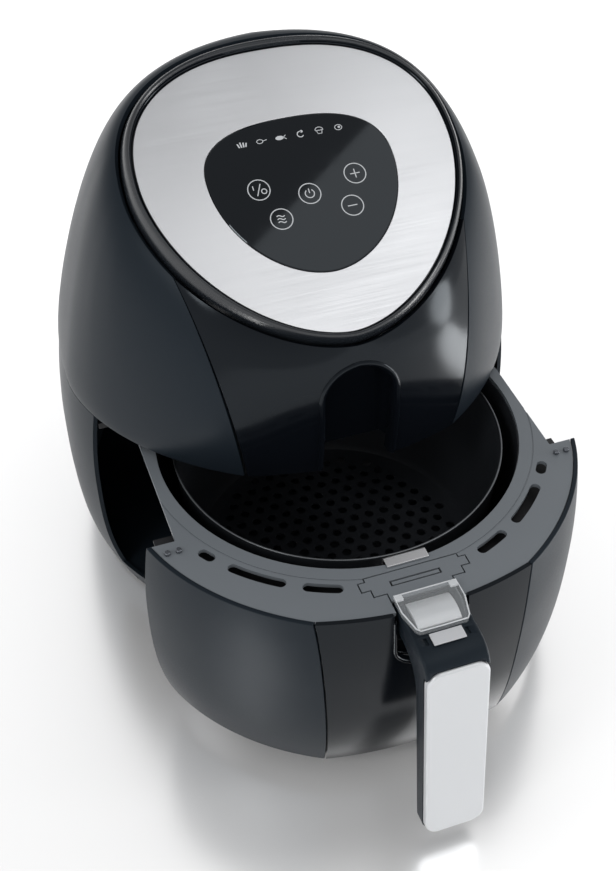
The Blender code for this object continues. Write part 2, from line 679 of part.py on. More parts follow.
bezel = loft("bezel_ring", [bezel_loop(q, h, k) for q, h, k in (
    (BEZEL_SIDE, -5.0, 1.0), (BEZEL_SIDE, 0.6, 1.0), (5.8, 1.9, 0.9), (4.8, 3.0, 0.6), (3.6, 3.4, 0.3),
    (2.5, 2.9, 0.1), (1.6, 1.5, 0.0), (1.3, -0.4, 0.0), (1.3, -1.6, 0.0), (-4.0, -1.6, 0.0),
    (-4.0, -4.4, 0.0))], gloss, slope, cyclic=True)

top_plate = loft("top_plate", [egg_loop(PLATE, -1.2), egg_loop(PLATE, -0.2), egg_loop(PLATE, 0.0, -0.3),
                               egg_loop(GLASS, 0.0, 0.3), egg_loop(GLASS, -1.2,
                                                                   0.3)], brushed, slope, cyclic=True)
loft("touch_glass", [egg_loop(GLASS, -2.0), egg_loop(GLASS, 0.0), egg_loop(GLASS, 0.3, -0.5)], glass, slope)
loft("display_frame", [egg_loop(GLASS, -4.6, 6.0), egg_loop(GLASS, -2.3, 6.0), egg_loop(GLASS, -2.3, -4.0),
                       egg_loop(GLASS, -4.6, -4.0)], dark, slope, cyclic=True)
control_board = box("control_board", (88.0, 62.0, 1.6), (0, -24.0, -5.7), board, slope)

# ---------------------------------------------------------------- drawer front
FRONT_LEVELS = (DRAWER_Z, 30.0, 48.0, 72.0, 98.0, 124.0, 145.0)


def front_grid(region, stops, inset, levels=FRONT_LEVELS, end_y=SPLIT_Y - SEAM):
    return [[skin(region, f, z, inset, end_y) for f in stops] for z in levels]


sign_label = ((-1, "left"), (1, "right"))
for sign, label in sign_label:
    stops = [TRIM] + [i / 8 for i in range(1, 9)]
    outer = [[(sign * p[0], p[1], p[2]) for p in row] for row in front_grid("drawer", stops, 0.0)]
    inner = [[(sign * p[0], p[1], p[2]) for p in row] for row in front_grid("drawer", stops, FASCIA_T)]
    slab("fascia_" + label, outer, inner, slate, drawer)

stops = [0.0, 0.2, 0.36, 0.52, 0.68, 0.84, 1.0 - TRIM]
fascia_centre = slab("fascia_centre", mirrored(front_grid("front", stops, 0.0)),
                     mirrored(front_grid("front", stops, FASCIA_T)), gloss, drawer)


def notch_loft(name, spread, deep, top, reach, mat=None):
    """U-shaped block between two stations, wider than the recess by spread on each side."""
    half_w = NOTCH_HALF + spread
    outline = [(half_w, top)]
    outline += [(half_w * math.cos(a), NOTCH_Z + NOTCH_DEEP + deep * math.sin(a))
                for a in [-math.pi * i / 12 for i in range(13)]]
    outline += [(-half_w, top)]
    return loft(name, [[(x, y, z) for x, z in outline] for y in reach], mat, drawer)


boolean(fascia_centre, notch_loft("cut_fascia_notch", 0.0, NOTCH_DEEP, 160.0, (-130, -90)))

carrier_levels = (26.0, 48.0, 72.0, 98.0, 124.0, DECK_TOP - DECK_T - GAP)
carrier_in = FASCIA_T + 0.4


def carrier_rows(inset):
    rows = []
    for z in carrier_levels:
        half_row = [skin("front", i / 4, z, inset) for i in range(4)]
        half_row += [skin("drawer", i / 8, z, inset, SPLIT_Y - SEAM) for i in range(8)]
        rows.append([(-p[0], p[1], p[2]) for p in reversed(half_row)] + half_row[1:])
    return rows


front_carrier = slab("front_carrier", carrier_rows(carrier_in), carrier_rows(carrier_in + 2.0), dark, drawer)
boolean(front_carrier, notch_loft("cut_carrier_notch", 3.0, NOTCH_DEEP + 3.0, 160.0, (-130, -85)))
recess = notch_loft("handle_recess", 1.55, NOTCH_DEEP + 1.6, 141.0, (-103.8, NOTCH_BACK), gloss)
boolean(recess, notch_loft("cut_handle_recess", 0.0, NOTCH_DEEP, 160.0, (-130, NOTCH_BACK - 2.0)))

# ---------------------------------------------------------------- drawer deck
ROOT_STEPS = [(HANDLE_HALF + side, y) for side, y in (
    (8.5, -78.0), (8.5, -80.4), (12.4, -80.4), (12.4, -85.8), (7.5, -85.8), (7.5, -90.6),
    (GAP, -90.6), (GAP, -96.0))]
deck_in = FASCIA_T + GAP
half = [(0.0, ROOT_STEPS[0][1] + SEAM), (ROOT_STEPS[0][0] + SEAM, ROOT_STEPS[0][1] + SEAM)]
for i in range(1, 7):
    x, y = ROOT_STEPS[i]
    half.append((x + SEAM, y + (SEAM if i in (1, 2) else -SEAM)))
front_f = (ROOT_STEPS[-1][0] + SEAM) / skin("front", 1.0, DECK_TOP, deck_in)[0]
half += [skin("front", front_f + (1 - front_f) * i / 5, DECK_TOP, deck_in)[:2] for i in range(5)]
half += [skin("drawer", i / 8, DECK_TOP, deck_in, SPLIT_Y - SEAM)[:2] for i in range(9)]
rail_end = RUN_END - RAIL_STOP
rail_a = math.acos((DECK_HALF - RAIL_W) / DECK_HALF)
half += [(DECK_HALF, SPLIT_Y - SEAM), (DECK_HALF, rail_end), (DECK_HALF - RAIL_W, rail_end)]
half += [(DECK_HALF * math.cos(a), AXIS_Y + DECK_HALF * math.sin(a))
         for a in [rail_a + (0.5 * math.pi - rail_a) * i / 12 for i in range(12)]]
half += [(0.0, AXIS_Y + DECK_HALF)]
deck = prism("drawer_deck", mirror_x(half), DECK_TOP - DECK_T, DECK_TOP, satin_grey, drawer)
boolean(deck, cylinder("cut_deck_opening", PAN_R + 0.5, 120, 160, (0, AXIS_Y), 72, parent=drawer))
SLOT_R = 118.5
SLOT_W = 2.9


def arc_slot(a0, a1):
    """Curved slot round the pan centre between two angles from the front, degrees."""
    a0 = math.radians(a0)
    a1 = math.radians(a1)
    cap = SLOT_W / SLOT_R
    loop = []
    for i in range(7):
        a = a0 + cap + (a1 - a0 - 2 * cap) * i / 6
        loop.append(((SLOT_R + SLOT_W) * math.sin(a), AXIS_Y - (SLOT_R + SLOT_W) * math.cos(a)))
    tip = [(SLOT_R * math.sin(a1), AXIS_Y - SLOT_R * math.cos(a1))]
    back = []
    for i in range(6, -1, -1):
        a = a0 + cap + (a1 - a0 - 2 * cap) * i / 6
        back.append(((SLOT_R - SLOT_W) * math.sin(a), AXIS_Y - (SLOT_R - SLOT_W) * math.cos(a)))
    return loop + tip + back + [(SLOT_R * math.sin(a0), AXIS_Y - SLOT_R * math.cos(a0))]


slots = []
for a0, a1 in ((18.7, 29.0), (33.1, 49.0), (53.2, 58.2)):
    for sign in (-1, 1):
        slots.append(prism("slot", arc_slot(sign * a0, sign * a1)[::sign], 130, 160))
slot_cut = merged("cut_deck_slots", slots)
slot_cut.parent = drawer
boolean(deck, slot_cut)
clips = []
for sign in (-1, 1):
    for x, w in ((111.0, 3.4), (117.2, 3.4)):
        clips.append(box("clip", (w, 3.0, 3.4), (sign * x, -27.6, DECK_TOP + 0.6)))
clip_add = merged("add_deck_clips", clips)
clip_add.parent = drawer
boolean(deck, clip_add, "UNION")

# ------------------------------------------------------------------------- pan
FLANGE = DECK_TOP - DECK_T - GAP
revolve("drawer_pan", [
    (0.0, PAN_FLOOR), (PAN_R - 20.5, PAN_FLOOR), (PAN_R - 14.5, PAN_FLOOR + 1.8), (PAN_R - 10.5,
    PAN_FLOOR + 6.0),
    (PAN_R - 8.5, PAN_FLOOR + 14.0), (PAN_R - 0.6, FLANGE - 8.0), (PAN_R, FLANGE), (PAN_R + PAN_LIP, FLANGE),
    (PAN_R + PAN_LIP, FLANGE - 1.4), (PAN_R + 1.2, FLANGE - 1.4), (PAN_R + 0.6, FLANGE - 8.2),
    (PAN_R - 7.3, PAN_FLOOR + 13.8), (PAN_R - 9.5, PAN_FLOOR + 5.2), (PAN_R - 13.9, PAN_FLOOR + 0.7),
    (PAN_R - 20.5, PAN_FLOOR - PAN_T), (0.0, PAN_FLOOR - PAN_T)],
    44, nonstick, drawer, (0, AXIS_Y, 0), closed=False)

# ---------------------------------------------------------------------- basket
basket = revolve("basket", [
    (0.0, BASKET_FLOOR + BASKET_T), (BASKET_R - 15.9, BASKET_FLOOR + BASKET_T),
    (BASKET_R - 11.3, BASKET_FLOOR + 2.6), (BASKET_R - 8.7, BASKET_FLOOR + 7.0), (BASKET_R - 1.9,
    BASKET_TOP - 1.6),
    (BASKET_R - 1.3, BASKET_TOP), (BASKET_R, BASKET_TOP), (BASKET_R, BASKET_TOP - 1.2),
    (BASKET_R - 0.8, BASKET_TOP - 1.6), (BASKET_R - 7.6, BASKET_FLOOR + 6.8), (BASKET_R - 10.5,
    BASKET_FLOOR + 1.8),
    (BASKET_R - 15.7, BASKET_FLOOR), (0.0, BASKET_FLOOR)],
    44, nonstick, lifter, (0, AXIS_Y, 0), closed=False)
stud_places = [(STUD_AT * math.cos(a), STUD_AT * math.sin(a))
               for a in [math.pi / 2 + 2 * math.pi * i / 3 for i in range(3)]]
studs = [cylinder("stud", STUD_R, PAN_FLOOR + GAP, BASKET_FLOOR + 0.4, (x, AXIS_Y + y), 12) for x,
         y in stud_places]
stud_add = merged("add_basket_studs", studs)
stud_add.parent = lifter
boolean(basket, stud_add, "UNION")
holes = []
row_step = HOLE_PITCH * math.sqrt(3) / 2
reach = math.ceil(STUD_AT / row_step) + 1
for j in range(-reach, reach + 1):
    for i in range(-reach, reach + 1):
        x = HOLE_PITCH * (i + 0.5 * (j % 2))
        y = row_step * j
        near_stud = min(math.hypot(x - sx, y - sy) for sx, sy in stud_places)
        if math.hypot(x, y) < STUD_AT + 2.0 and near_stud > STUD_R + HOLE_R + 0.6:
            holes.append(cylinder("hole", HOLE_R, BASKET_FLOOR - 3, BASKET_FLOOR + 4, (x, AXIS_Y + y), 6))
hole_cut = merged("cut_basket_holes", holes)
hole_cut.parent = lifter
boolean(basket, hole_cut)

# ---------------------------------------------------- bracket, handle, release
strip_y = AXIS_Y - PAN_R + 3.5
foot_z = BASKET_TOP - 18.8
profile = [(strip_y - 10.8, DECK_TOP + GAP), (strip_y - 0.8, DECK_TOP + GAP), (strip_y, DECK_TOP - 0.6),
           (strip_y, foot_z), (strip_y + 6.6, foot_z), (strip_y + 6.6, foot_z + STRIP_T),
           (strip_y + STRIP_T, foot_z + STRIP_T), (strip_y + STRIP_T, DECK_TOP + 0.4),
           (strip_y - 0.2, DECK_TOP + GAP + STRIP_T), (strip_y - 10.8, DECK_TOP + GAP + STRIP_T)]
loft("basket_bracket", [[(x, y, z) for y, z in profile] for x in (-14.0, 14.0)], steel, lifter)

half = [(0.0, ROOT_STEPS[0][1])] + ROOT_STEPS + [(0.0, ROOT_STEPS[-1][1])]
root_plate = prism("handle_root", mirror_x(half), DECK_TOP - 3.2, DECK_TOP, satin_grey, lifter)
boolean(root_plate, box("cut_root_slot", (28.6, 3.8, 2.4), (0, -85.3, DECK_TOP), parent=lifter))

side_view = [(-96.4, 144.4), (-122.0, 144.2), (-131.0, 143.6), (-137.5, 141.0), (-141.6, 136.0),
             (-143.4, 128.0),
             (GRIP_FRONT_Y + 0.8, 26.0), (GRIP_FRONT_Y + 1.6, 19.0), (GRIP_FRONT_Y + 5.0, 15.6),
             (-149.6, 15.4), (-145.4, 18.6), (-143.6, 26.0), (-130.4, 112.0), (-127.0, 121.0), (-120.0, 127.0),
             (-110.0, 129.2), (-96.4, 129.6)]
handle = loft("handle_grip", [[(x, y, z) for y, z in side_view] for x in (-HANDLE_HALF, HANDLE_HALF)],
              slate, lifter)
bevel(handle, 3.4, 3, 50)
boolean(handle, box("cut_button_well", (25.0, BUTTON_Y[1] - BUTTON_Y[0] + 0.8, 30.0),
                    (0, 0.5 * sum(BUTTON_Y), 133.0 + 15.0), parent=lifter))

grip_len = math.hypot(PLATE_TOP[0] - PLATE_LOW[0], PLATE_TOP[1] - PLATE_LOW[1])
grip_lean = math.atan2(PLATE_TOP[0] - PLATE_LOW[0], PLATE_TOP[1] - PLATE_LOW[1])


def grip_outline(half_w, length, radius, steps=5):
    points = []
    for cx, cz, a0 in ((half_w - radius, length - radius, 0.0), (-half_w + radius, length - radius, 0.5),
                       (-half_w + radius, radius, 1.0), (half_w - radius, radius, 1.5)):
        for i in range(steps + 1):
            a = math.pi * (a0 + 0.5 * i / steps)
            points.append((cx + radius * math.cos(a), cz + radius * math.sin(a)))
    return points


def leaned(half_w, length, radius, depth, start=0.0):
    points = []
    for x, s in grip_outline(half_w, length, radius):
        s = s + start
        points.append((x, PLATE_LOW[0] + s * math.sin(grip_lean) + depth * math.cos(grip_lean),
                       PLATE_LOW[1] + s * math.cos(grip_lean) - depth * math.sin(grip_lean)))
    return points


PLATE_LEN = grip_len - 9.0
boolean(handle, loft("cut_grip_seat", [leaned(PLATE_HALF + GAP, PLATE_LEN, 6.6, d) for d in (-8.0, 2.6)],
                     parent=lifter))
grip_plate = loft("grip_plate", [leaned(PLATE_HALF, PLATE_LEN - 0.6, 6.3, 2.3, 0.3),
                                 leaned(PLATE_HALF, PLATE_LEN - 0.6, 6.3, -0.9, 0.3),
                                 leaned(PLATE_HALF - 1.3, PLATE_LEN - 3.2, 5.0, -2.0, 1.6)], silver, lifter)

arc_top = [(y, 146.2 - 2.4 * ((y - sum(BUTTON_Y) / 2) / 9.0) ** 2) for y in
           [BUTTON_Y[0] + 0.1 + (BUTTON_Y[1] - BUTTON_Y[0] - 0.2) * i / 8 for i in range(9)]]
button_side = [(arc_top[0][0], 137.0)] + arc_top + [(arc_top[-1][0], 137.0)]
button = loft("release_button", [[(x, y, z) for y, z in button_side] for x in (-BUTTON_HALF,
                                                                               BUTTON_HALF)], silver, lifter)
boolean(button, cylinder("cut_button_cup", 6.0, 130.0, 142.6, (0, 0.5 * sum(BUTTON_Y)), 20, parent=lifter))

spring = bpy.data.curves.new("button_spring", "CURVE")
spring.dimensions = "3D"
spring.bevel_depth = 0.45 * MM
spring.bevel_resolution = 0
spring.use_fill_caps = True
path = spring.splines.new("POLY")
path.points.add(40)
for i, point in enumerate(path.points):
    a = 2 * math.pi * i / 10
    point.co = (4.4 * math.cos(a) * MM, 4.4 * math.sin(a) * MM, (133.9 + 4.4 * i / 40) * MM, 1.0)
button_spring = bpy.data.objects.new("button_spring", spring)
button_spring.location = Vector((0, 0.5 * sum(BUTTON_Y), 0)) * MM
button_spring.parent = lifter
spring.materials.append(steel)
parts.objects.link(button_spring)

cover_out = [(17.4, -96.6), (17.4, -108.0), (14.6, -119.6), (13.0, -121.6)]
cover_in = [(15.9, -90.0), (15.9, -108.0), (13.2, -118.6), (12.4, -120.2)]
cover = prism("button_cover", mirror_x([(0.0, -96.6)] + cover_out + [(0.0, -121.9)]),
              DECK_TOP + 0.2, 148.7, clear, lifter)
boolean(cover, prism("cut_cover_hollow", mirror_x([(0.0, -90.0)] + cover_in + [(0.0, -120.4)]),
                     DECK_TOP - 3, 147.3, parent=lifter))
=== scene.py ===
"""Looks of a table-top hot-air fryer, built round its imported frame. Lengths are in millimetres."""
import math

import bmesh
import bpy
from mathutils import Matrix, Vector
from mathutils.bvhtree import BVHTree


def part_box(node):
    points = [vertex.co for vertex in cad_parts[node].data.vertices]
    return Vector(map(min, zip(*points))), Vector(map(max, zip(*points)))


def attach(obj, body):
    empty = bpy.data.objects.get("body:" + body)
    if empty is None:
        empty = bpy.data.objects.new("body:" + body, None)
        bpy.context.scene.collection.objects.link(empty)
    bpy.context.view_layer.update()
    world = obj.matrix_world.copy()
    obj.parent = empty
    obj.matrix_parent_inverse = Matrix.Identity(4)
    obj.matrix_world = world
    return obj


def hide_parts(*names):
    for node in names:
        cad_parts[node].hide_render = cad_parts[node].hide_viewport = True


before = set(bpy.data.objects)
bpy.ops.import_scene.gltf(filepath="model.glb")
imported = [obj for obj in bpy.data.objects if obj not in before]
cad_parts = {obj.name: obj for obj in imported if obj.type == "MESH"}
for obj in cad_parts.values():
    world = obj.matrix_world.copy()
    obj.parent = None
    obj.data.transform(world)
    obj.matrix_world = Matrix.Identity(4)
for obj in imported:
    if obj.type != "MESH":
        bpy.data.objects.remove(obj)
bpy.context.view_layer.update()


# ---------------------------------------------------------------------- studio
# The fryer stands on a wide white glossy sheet, under one large soft lamp and a smaller one at each
# side. The sky is white at the horizon and dimmer overhead. The camera looks down from front left.
scene = bpy.context.scene
scene.view_settings.view_transform = "Standard"
camera = bpy.data.objects.new("camera", bpy.data.cameras.new("camera"))
scene.collection.objects.link(camera)
scene.camera = camera
camera.data.lens = 53.7
camera.data.sensor_width = 36.0
camera.location = (-0.1980, -0.54995, 0.6605)
turn = Matrix.Rotation(math.radians(-19.42), 4, "Z") @ Matrix.Rotation(math.radians(46.525), 4, "X")
camera.rotation_euler = (turn @ Matrix.Rotation(math.radians(-0.125), 4, "Z")).to_euler()

SHEET_HALF = 12.0                   # metres
SHEET_WHITE = (0.80, 0.80, 0.81, 1)
SHEET_SEEN = (1.85, 1.84, 1.83, 1)
SHEET_GLOSS = 0.66
sheet_mesh = bpy.data.meshes.new("floor")
corners = [(x * SHEET_HALF, y * SHEET_HALF, 0) for x, y in ((-1, -1), (1, -1), (1, 1), (-1, 1))]
sheet_mesh.from_pydata(corners, [], [(0, 1, 2, 3)])
floor = bpy.data.objects.new("floor", sheet_mesh)
scene.collection.objects.link(floor)
paper = bpy.data.materials.new("white_floor")
paper.use_nodes = True
paper_tree = paper.node_tree
paper_tree.nodes.clear()
paper_out = paper_tree.nodes.new("ShaderNodeOutputMaterial")
ray = paper_tree.nodes.new("ShaderNodeLightPath")
tint = paper_tree.nodes.new("ShaderNodeMix")
tint.data_type = "RGBA"
tint.inputs[6].default_value = SHEET_WHITE
tint.inputs[7].default_value = SHEET_SEEN
matt = paper_tree.nodes.new("ShaderNodeBsdfDiffuse")
mirror = paper_tree.nodes.new("ShaderNodeBsdfGlossy")
mirror.inputs["Roughness"].default_value = 0.22
sheen = paper_tree.nodes.new("ShaderNodeMixShader")
sheen.inputs[0].default_value = SHEET_GLOSS
seen = None
for kind in ("Is Camera Ray", "Is Glossy Ray", "Is Transmission Ray"):
    if seen is None:
        seen = ray.outputs[kind]
        continue
    either = paper_tree.nodes.new("ShaderNodeMath")
    either.operation = "MAXIMUM"
    paper_tree.links.new(seen, either.inputs[0])
    paper_tree.links.new(ray.outputs[kind], either.inputs[1])
    seen = either.outputs[0]
paper_tree.links.new(seen, tint.inputs[0])
paper_tree.links.new(tint.outputs[2], matt.inputs["Color"])
paper_tree.links.new(tint.outputs[2], mirror.inputs["Color"])
paper_tree.links.new(matt.outputs[0], sheen.inputs[1])
paper_tree.links.new(mirror.outputs[0], sheen.inputs[2])
paper_tree.links.new(sheen.outputs[0], paper_out.inputs["Surface"])
sheet_mesh.materials.append(paper)

world = bpy.data.worlds.new("studio")
scene.world = world
world.use_nodes = True
sky = world.node_tree
aim_at = sky.nodes.new("ShaderNodeTexCoord")
axes = sky.nodes.new("ShaderNodeSeparateXYZ")
rise = sky.nodes.new("ShaderNodeMapRange")
rise.inputs["From Min"].default_value = 0.10
rise.inputs["From Max"].default_value = 0.85
rise.inputs["To Min"].default_value = 1.0
rise.inputs["To Max"].default_value = 0.42
sky.links.new(aim_at.outputs["Generated"], axes.inputs[0])
sky.links.new(axes.outputs["Z"], rise.inputs["Value"])
sky.links.new(rise.outputs[0], sky.nodes["Background"].inputs["Strength"])
sky.nodes["Background"].inputs["Color"].default_value = (0.985, 0.99, 1.0, 1)


def softbox(name, at, aim, size, watts, shape="ELLIPSE"):
    lamp = bpy.data.lights.new(name, "AREA")
    lamp.shape = shape
    lamp.size = size[0]
    lamp.size_y = size[1]
    lamp.energy = watts
    ob = bpy.data.objects.new(name, lamp)
    ob.location = at
    ob.rotation_euler = (Vector(aim) - Vector(at)).to_track_quat("-Z", "Y").to_euler()
    scene.collection.objects.link(ob)
    return ob


above = softbox("lamp_above", (0.524, -0.343, 1.45), (0.524, -0.343, 0.0), (1.0, 0.7), 2.3, "RECTANGLE")
above.rotation_euler.z = math.radians(34.7)
softbox("lamp_right", (1.15, -0.50, 0.27), (0.0, -0.05, 0.20), (0.28, 0.52), 3.3)
softbox("lamp_left", (-1.10, -0.62, 1.15), (0.0, -0.05, 0.2), (0.40, 0.40), 3.2)


# ------------------------------------------------------------------ lower body
# The base is one moulding of slate ABS with a fine spark-eroded skin. It is closed at the back and
# the sides, open at the front for the drawer, and its wall is about 2.4 mm thick.
MM = 0.001                          # metres in a millimetre
AXIS_Y = 31.8                       # middle of pan and chamber behind the middle of the body
HALF_W = 138.3
SIDE_Y = 15.0
FRONT_R = 131.0
REAR_R = 170.0
FRONT_N = 1.75
REAR_N = 2.15
FRONT_Y = -107.0
CREASE_X = 61.5
CREASE_LOW = 9.0
BULGE = 4.4
BULGE_Z = 95.0
FOOT_IN = 11.0
SPLIT_Y = -19.3
LIP_Z = 149.3
SEAM = 0.4
WALL = 2.4
SILL_Z = 19.0
GLAND_Z = 34.0
GLAND_R = 6.3


def mid_y(node):
    """Middle of a turned part across the depth of the fryer, in millimetres."""
    low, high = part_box(node)
    return 500.0 * (low.y + high.y)


BODY_Y = mid_y("cooking_chamber") - AXIS_Y


def grain(name, colour, rough, spread=0.06, bump=0.05, scale=900.0, tone=0.12, metallic=0.0, stretch=(1, 1, 1),
          shine=0.5, tint=(1, 1, 1), alpha=1.0):
    """Moulded or rolled finish: fine grain in the bump, slow drift in tone and roughness."""
    mat = bpy.data.materials.new(name)
    mat.use_nodes = True
    tree = mat.node_tree
    sh = tree.nodes["Principled BSDF"]
    sh.inputs["Metallic"].default_value = metallic
    sh.inputs["Specular IOR Level"].default_value = shine
    sh.inputs["Specular Tint"].default_value = (*tint, 1)
    sh.inputs["Alpha"].default_value = alpha
    where = tree.nodes.new("ShaderNodeTexCoord")
    spread_map = tree.nodes.new("ShaderNodeMapping")
    spread_map.inputs["Scale"].default_value = stretch
    tree.links.new(where.outputs["Object"], spread_map.inputs["Vector"])
    drift = tree.nodes.new("ShaderNodeTexNoise")
    drift.inputs["Scale"].default_value = 14.0
    drift.inputs["Detail"].default_value = 4.0
    tree.links.new(where.outputs["Object"], drift.inputs["Vector"])
    fine = tree.nodes.new("ShaderNodeTexNoise")
    fine.inputs["Scale"].default_value = scale
    fine.inputs["Detail"].default_value = 3.0
    tree.links.new(spread_map.outputs["Vector"], fine.inputs["Vector"])
    ramp = tree.nodes.new("ShaderNodeMix")
    ramp.data_type = "RGBA"
    ramp.inputs[6].default_value = (*[c * (1 - tone) for c in colour], 1)
    ramp.inputs[7].default_value = (*[c * (1 + tone) for c in colour], 1)
    tree.links.new(drift.outputs["Fac"], ramp.inputs[0])
    tree.links.new(ramp.outputs[2], sh.inputs["Base Color"])
    both = tree.nodes.new("ShaderNodeMath")
    both.operation = "MULTIPLY"
    tree.links.new(drift.outputs["Fac"], both.inputs[0])
    tree.links.new(fine.outputs["Fac"], both.inputs[1])
    dull = tree.nodes.new("ShaderNodeMapRange")
    dull.inputs["From Min"].default_value = 0.1
    dull.inputs["From Max"].default_value = 0.4
    dull.inputs["To Min"].default_value = max(0.02, rough - spread)
    dull.inputs["To Max"].default_value = rough + spread
    tree.links.new(both.outputs[0], dull.inputs["Value"])
    tree.links.new(dull.outputs[0], sh.inputs["Roughness"])
    lift = tree.nodes.new("ShaderNodeBump")
    lift.inputs["Strength"].default_value = bump
    lift.inputs["Distance"].default_value = 0.0002
    tree.links.new(fine.outputs["Fac"], lift.inputs["Height"])
    tree.links.new(lift.outputs["Normal"], sh.inputs["Normal"])
    return mat


slate = grain("slate_plastic", (0.012, 0.017, 0.023), 0.38, 0.05, 0.10, 1500.0, shine=0.15,
              tint=(0.84, 0.93, 1.0))


def join_mesh(name, points, faces, mat, at_y, angle=32.0):
    """Closed mesh from points in millimetres, set at_y along the depth of the fryer."""
    mesh = bpy.data.meshes.new(name)
    mesh.from_pydata([Vector((p[0], p[1] + at_y, p[2])) * MM for p in points], [], faces)
    bm = bmesh.new()
    bm.from_mesh(mesh)
    bmesh.ops.remove_doubles(bm, verts=bm.verts, dist=0.00001)
    bmesh.ops.recalc_face_normals(bm, faces=bm.faces)
    if bm.calc_volume(signed=True) < 0.0:
        bmesh.ops.reverse_faces(bm, faces=bm.faces)
    bm.to_mesh(mesh)
    bm.free()
    ob = bpy.data.objects.new(name, mesh)
    scene.collection.objects.link(ob)
    mesh.materials.append(mat)
    mesh.shade_smooth()
    mesh.set_sharp_from_angle(angle=math.radians(angle))
    return ob


def skin_over(name, loops, mat, at_y, ring=False, angle=32.0):
    """Closed loops joined in order, capped at both ends or, as a ring, closed on themselves."""
    n = len(loops[0])
    points = [p for loop in loops for p in loop]
    faces = []
    for k in range(len(loops) if ring else len(loops) - 1):
        a = k * n
        b = ((k + 1) % len(loops)) * n
        faces += [(a + i, a + (i + 1) % n, b + (i + 1) % n, b + i) for i in range(n)]
    if not ring:
        faces.append(tuple(range(n))[::-1])
        faces.append(tuple(range((len(loops) - 1) * n, len(loops) * n)))
    return join_mesh(name, points, faces, mat, at_y, angle)


def cut(ob, tool, operation="DIFFERENCE"):
    """Cuts one mesh with another, or joins them, for good."""
    mod = ob.modifiers.new("cut", "BOOLEAN")
    mod.operation = operation
    mod.solver = "EXACT"
    mod.object = tool
    bpy.context.view_layer.update()
    done = bpy.data.meshes.new_from_object(ob.evaluated_get(bpy.context.evaluated_depsgraph_get()))
    ob.modifiers.clear()
    ob.data = done
    bpy.data.objects.remove(tool, do_unlink=True)
    done.shade_smooth()
    done.set_sharp_from_angle(angle=math.radians(32.0))
    return ob


def slab(name, outline, low, high, mat, at_y):
    """Piece with an outline of (x, y) points between two heights."""
    return skin_over(name, [[(x, y, z) for x, y in outline] for z in (low, high)], mat, at_y)


def block(name, size, centre, at_y, mat=slate):
    """Plain bar, for a cut or for a small part."""
    sx, sy, sz = (0.5 * s for s in size)
    flat = [(centre[0] + x, centre[1] + y) for x, y in ((-sx, -sy), (sx, -sy), (sx, sy), (-sx, sy))]
    return slab(name, flat, centre[2] - sz, centre[2] + sz, mat, at_y)


def soften(ob, width, segments=2, angle=38.0):
    """Small radius along a moulding's edges."""
    mod = ob.modifiers.new("edge", "BEVEL")
    mod.width = width * MM
    mod.segments = segments
    mod.limit_method = "ANGLE"
    mod.angle_limit = math.radians(angle)
    mod.harden_normals = True
    return ob


def fit(ob, body, slot, *stands_for):
    """Fixes a piece to its body; it may stand for the plainer solid of the frame."""
    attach(ob, body)
    if stands_for:
        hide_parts(*stands_for)
    return ob


def signed_pow(value, power):
    """Power of the size of a value, with its sign kept."""
    return math.copysign(abs(value) ** power, value)


def swell(z):
    """How far the side stands out at a height, against the lip."""
    if z >= BULGE_Z:
        return BULGE * (1.0 - ((z - BULGE_Z) / (LIP_Z - BULGE_Z)) ** 2)
    return BULGE - (BULGE + FOOT_IN) * ((BULGE_Z - z) / BULGE_Z) ** 2.8


def side_at(t, z, inset=0.0):
    """Side of the body at an angle t round it, from the front (below 0) to the rear."""
    g = swell(z) - inset
    n, reach = (FRONT_N, FRONT_R) if t < 0 else (REAR_N, REAR_R)
    x = (HALF_W + g) * abs(math.cos(t)) ** (2 / n)
    return (x if x > 1e-4 else 0.0, SIDE_Y + (reach + g) * signed_pow(math.sin(t), 2 / n), z)


def crease_at(z, inset=0.0):
    """Angle at which the side meets the front face."""
    drop = max(0.0, LIP_Z - z) / LIP_Z
    x = CREASE_X - CREASE_LOW * drop ** 0.6 - 0.55 * inset
    return -math.acos((x / (HALF_W + swell(z) - inset)) ** (FRONT_N / 2))


def front_at(f, z, inset=0.0):
    """Front face between its middle (0) and the crease (1)."""
    corner = side_at(crease_at(z, inset), z, inset)
    middle = FRONT_Y - swell(z) + inset
    return (corner[0] * f, middle + (corner[1] - middle) * f * f, z)


def mirrored(half):
    """Half outline with x of 0 or more, made whole."""
    return list(half) + [(-p[0], *p[1:]) for p in reversed(half) if p[0] > 1e-6]


def body_ring(z, inset=0.0, steps=40):
    """Whole outline of the body at a height."""
    t0 = crease_at(z, inset)
    half = [front_at(i / 14, z, inset) for i in range(14)]
    half += [side_at(t0 + (0.5 * math.pi - t0) * i / steps, z, inset) for i in range(steps + 1)]
    return mirrored(half)


def heights(low, high, steps):
    return [low + (high - low) * i / steps for i in range(steps + 1)]


base = skin_over("base_moulding", [body_ring(z) for z in heights(3.0, LIP_Z - SEAM, 30)], slate, BODY_Y)
cut(base, skin_over("hollow", [body_ring(z, WALL) for z in heights(16.0, LIP_Z + 3, 26)], slate, BODY_Y))
cut(base, skin_over("under", [body_ring(z, WALL) for z in (1.0, 7.0, 13.5)], slate, BODY_Y))
cut(base, block("mouth", (320, 300, 160), (0, SPLIT_Y - 150, SILL_Z + 80), BODY_Y))
cut(base, block("step", (210, 60, 40), (0, SPLIT_Y - 75, 36), BODY_Y))
gland_turn = [math.tau * i / 32 for i in range(32)]
hole = [[(GLAND_R * math.cos(a), y, GLAND_Z + GLAND_R * math.sin(a)) for a in gland_turn]
        for y in (SIDE_Y + REAR_R - 30, SIDE_Y + REAR_R + 30)]
cut(base, skin_over("gland_hole", hole, slate, BODY_Y))
fit(soften(base, 0.5), "housing", "slate_plastic", "base_shell")


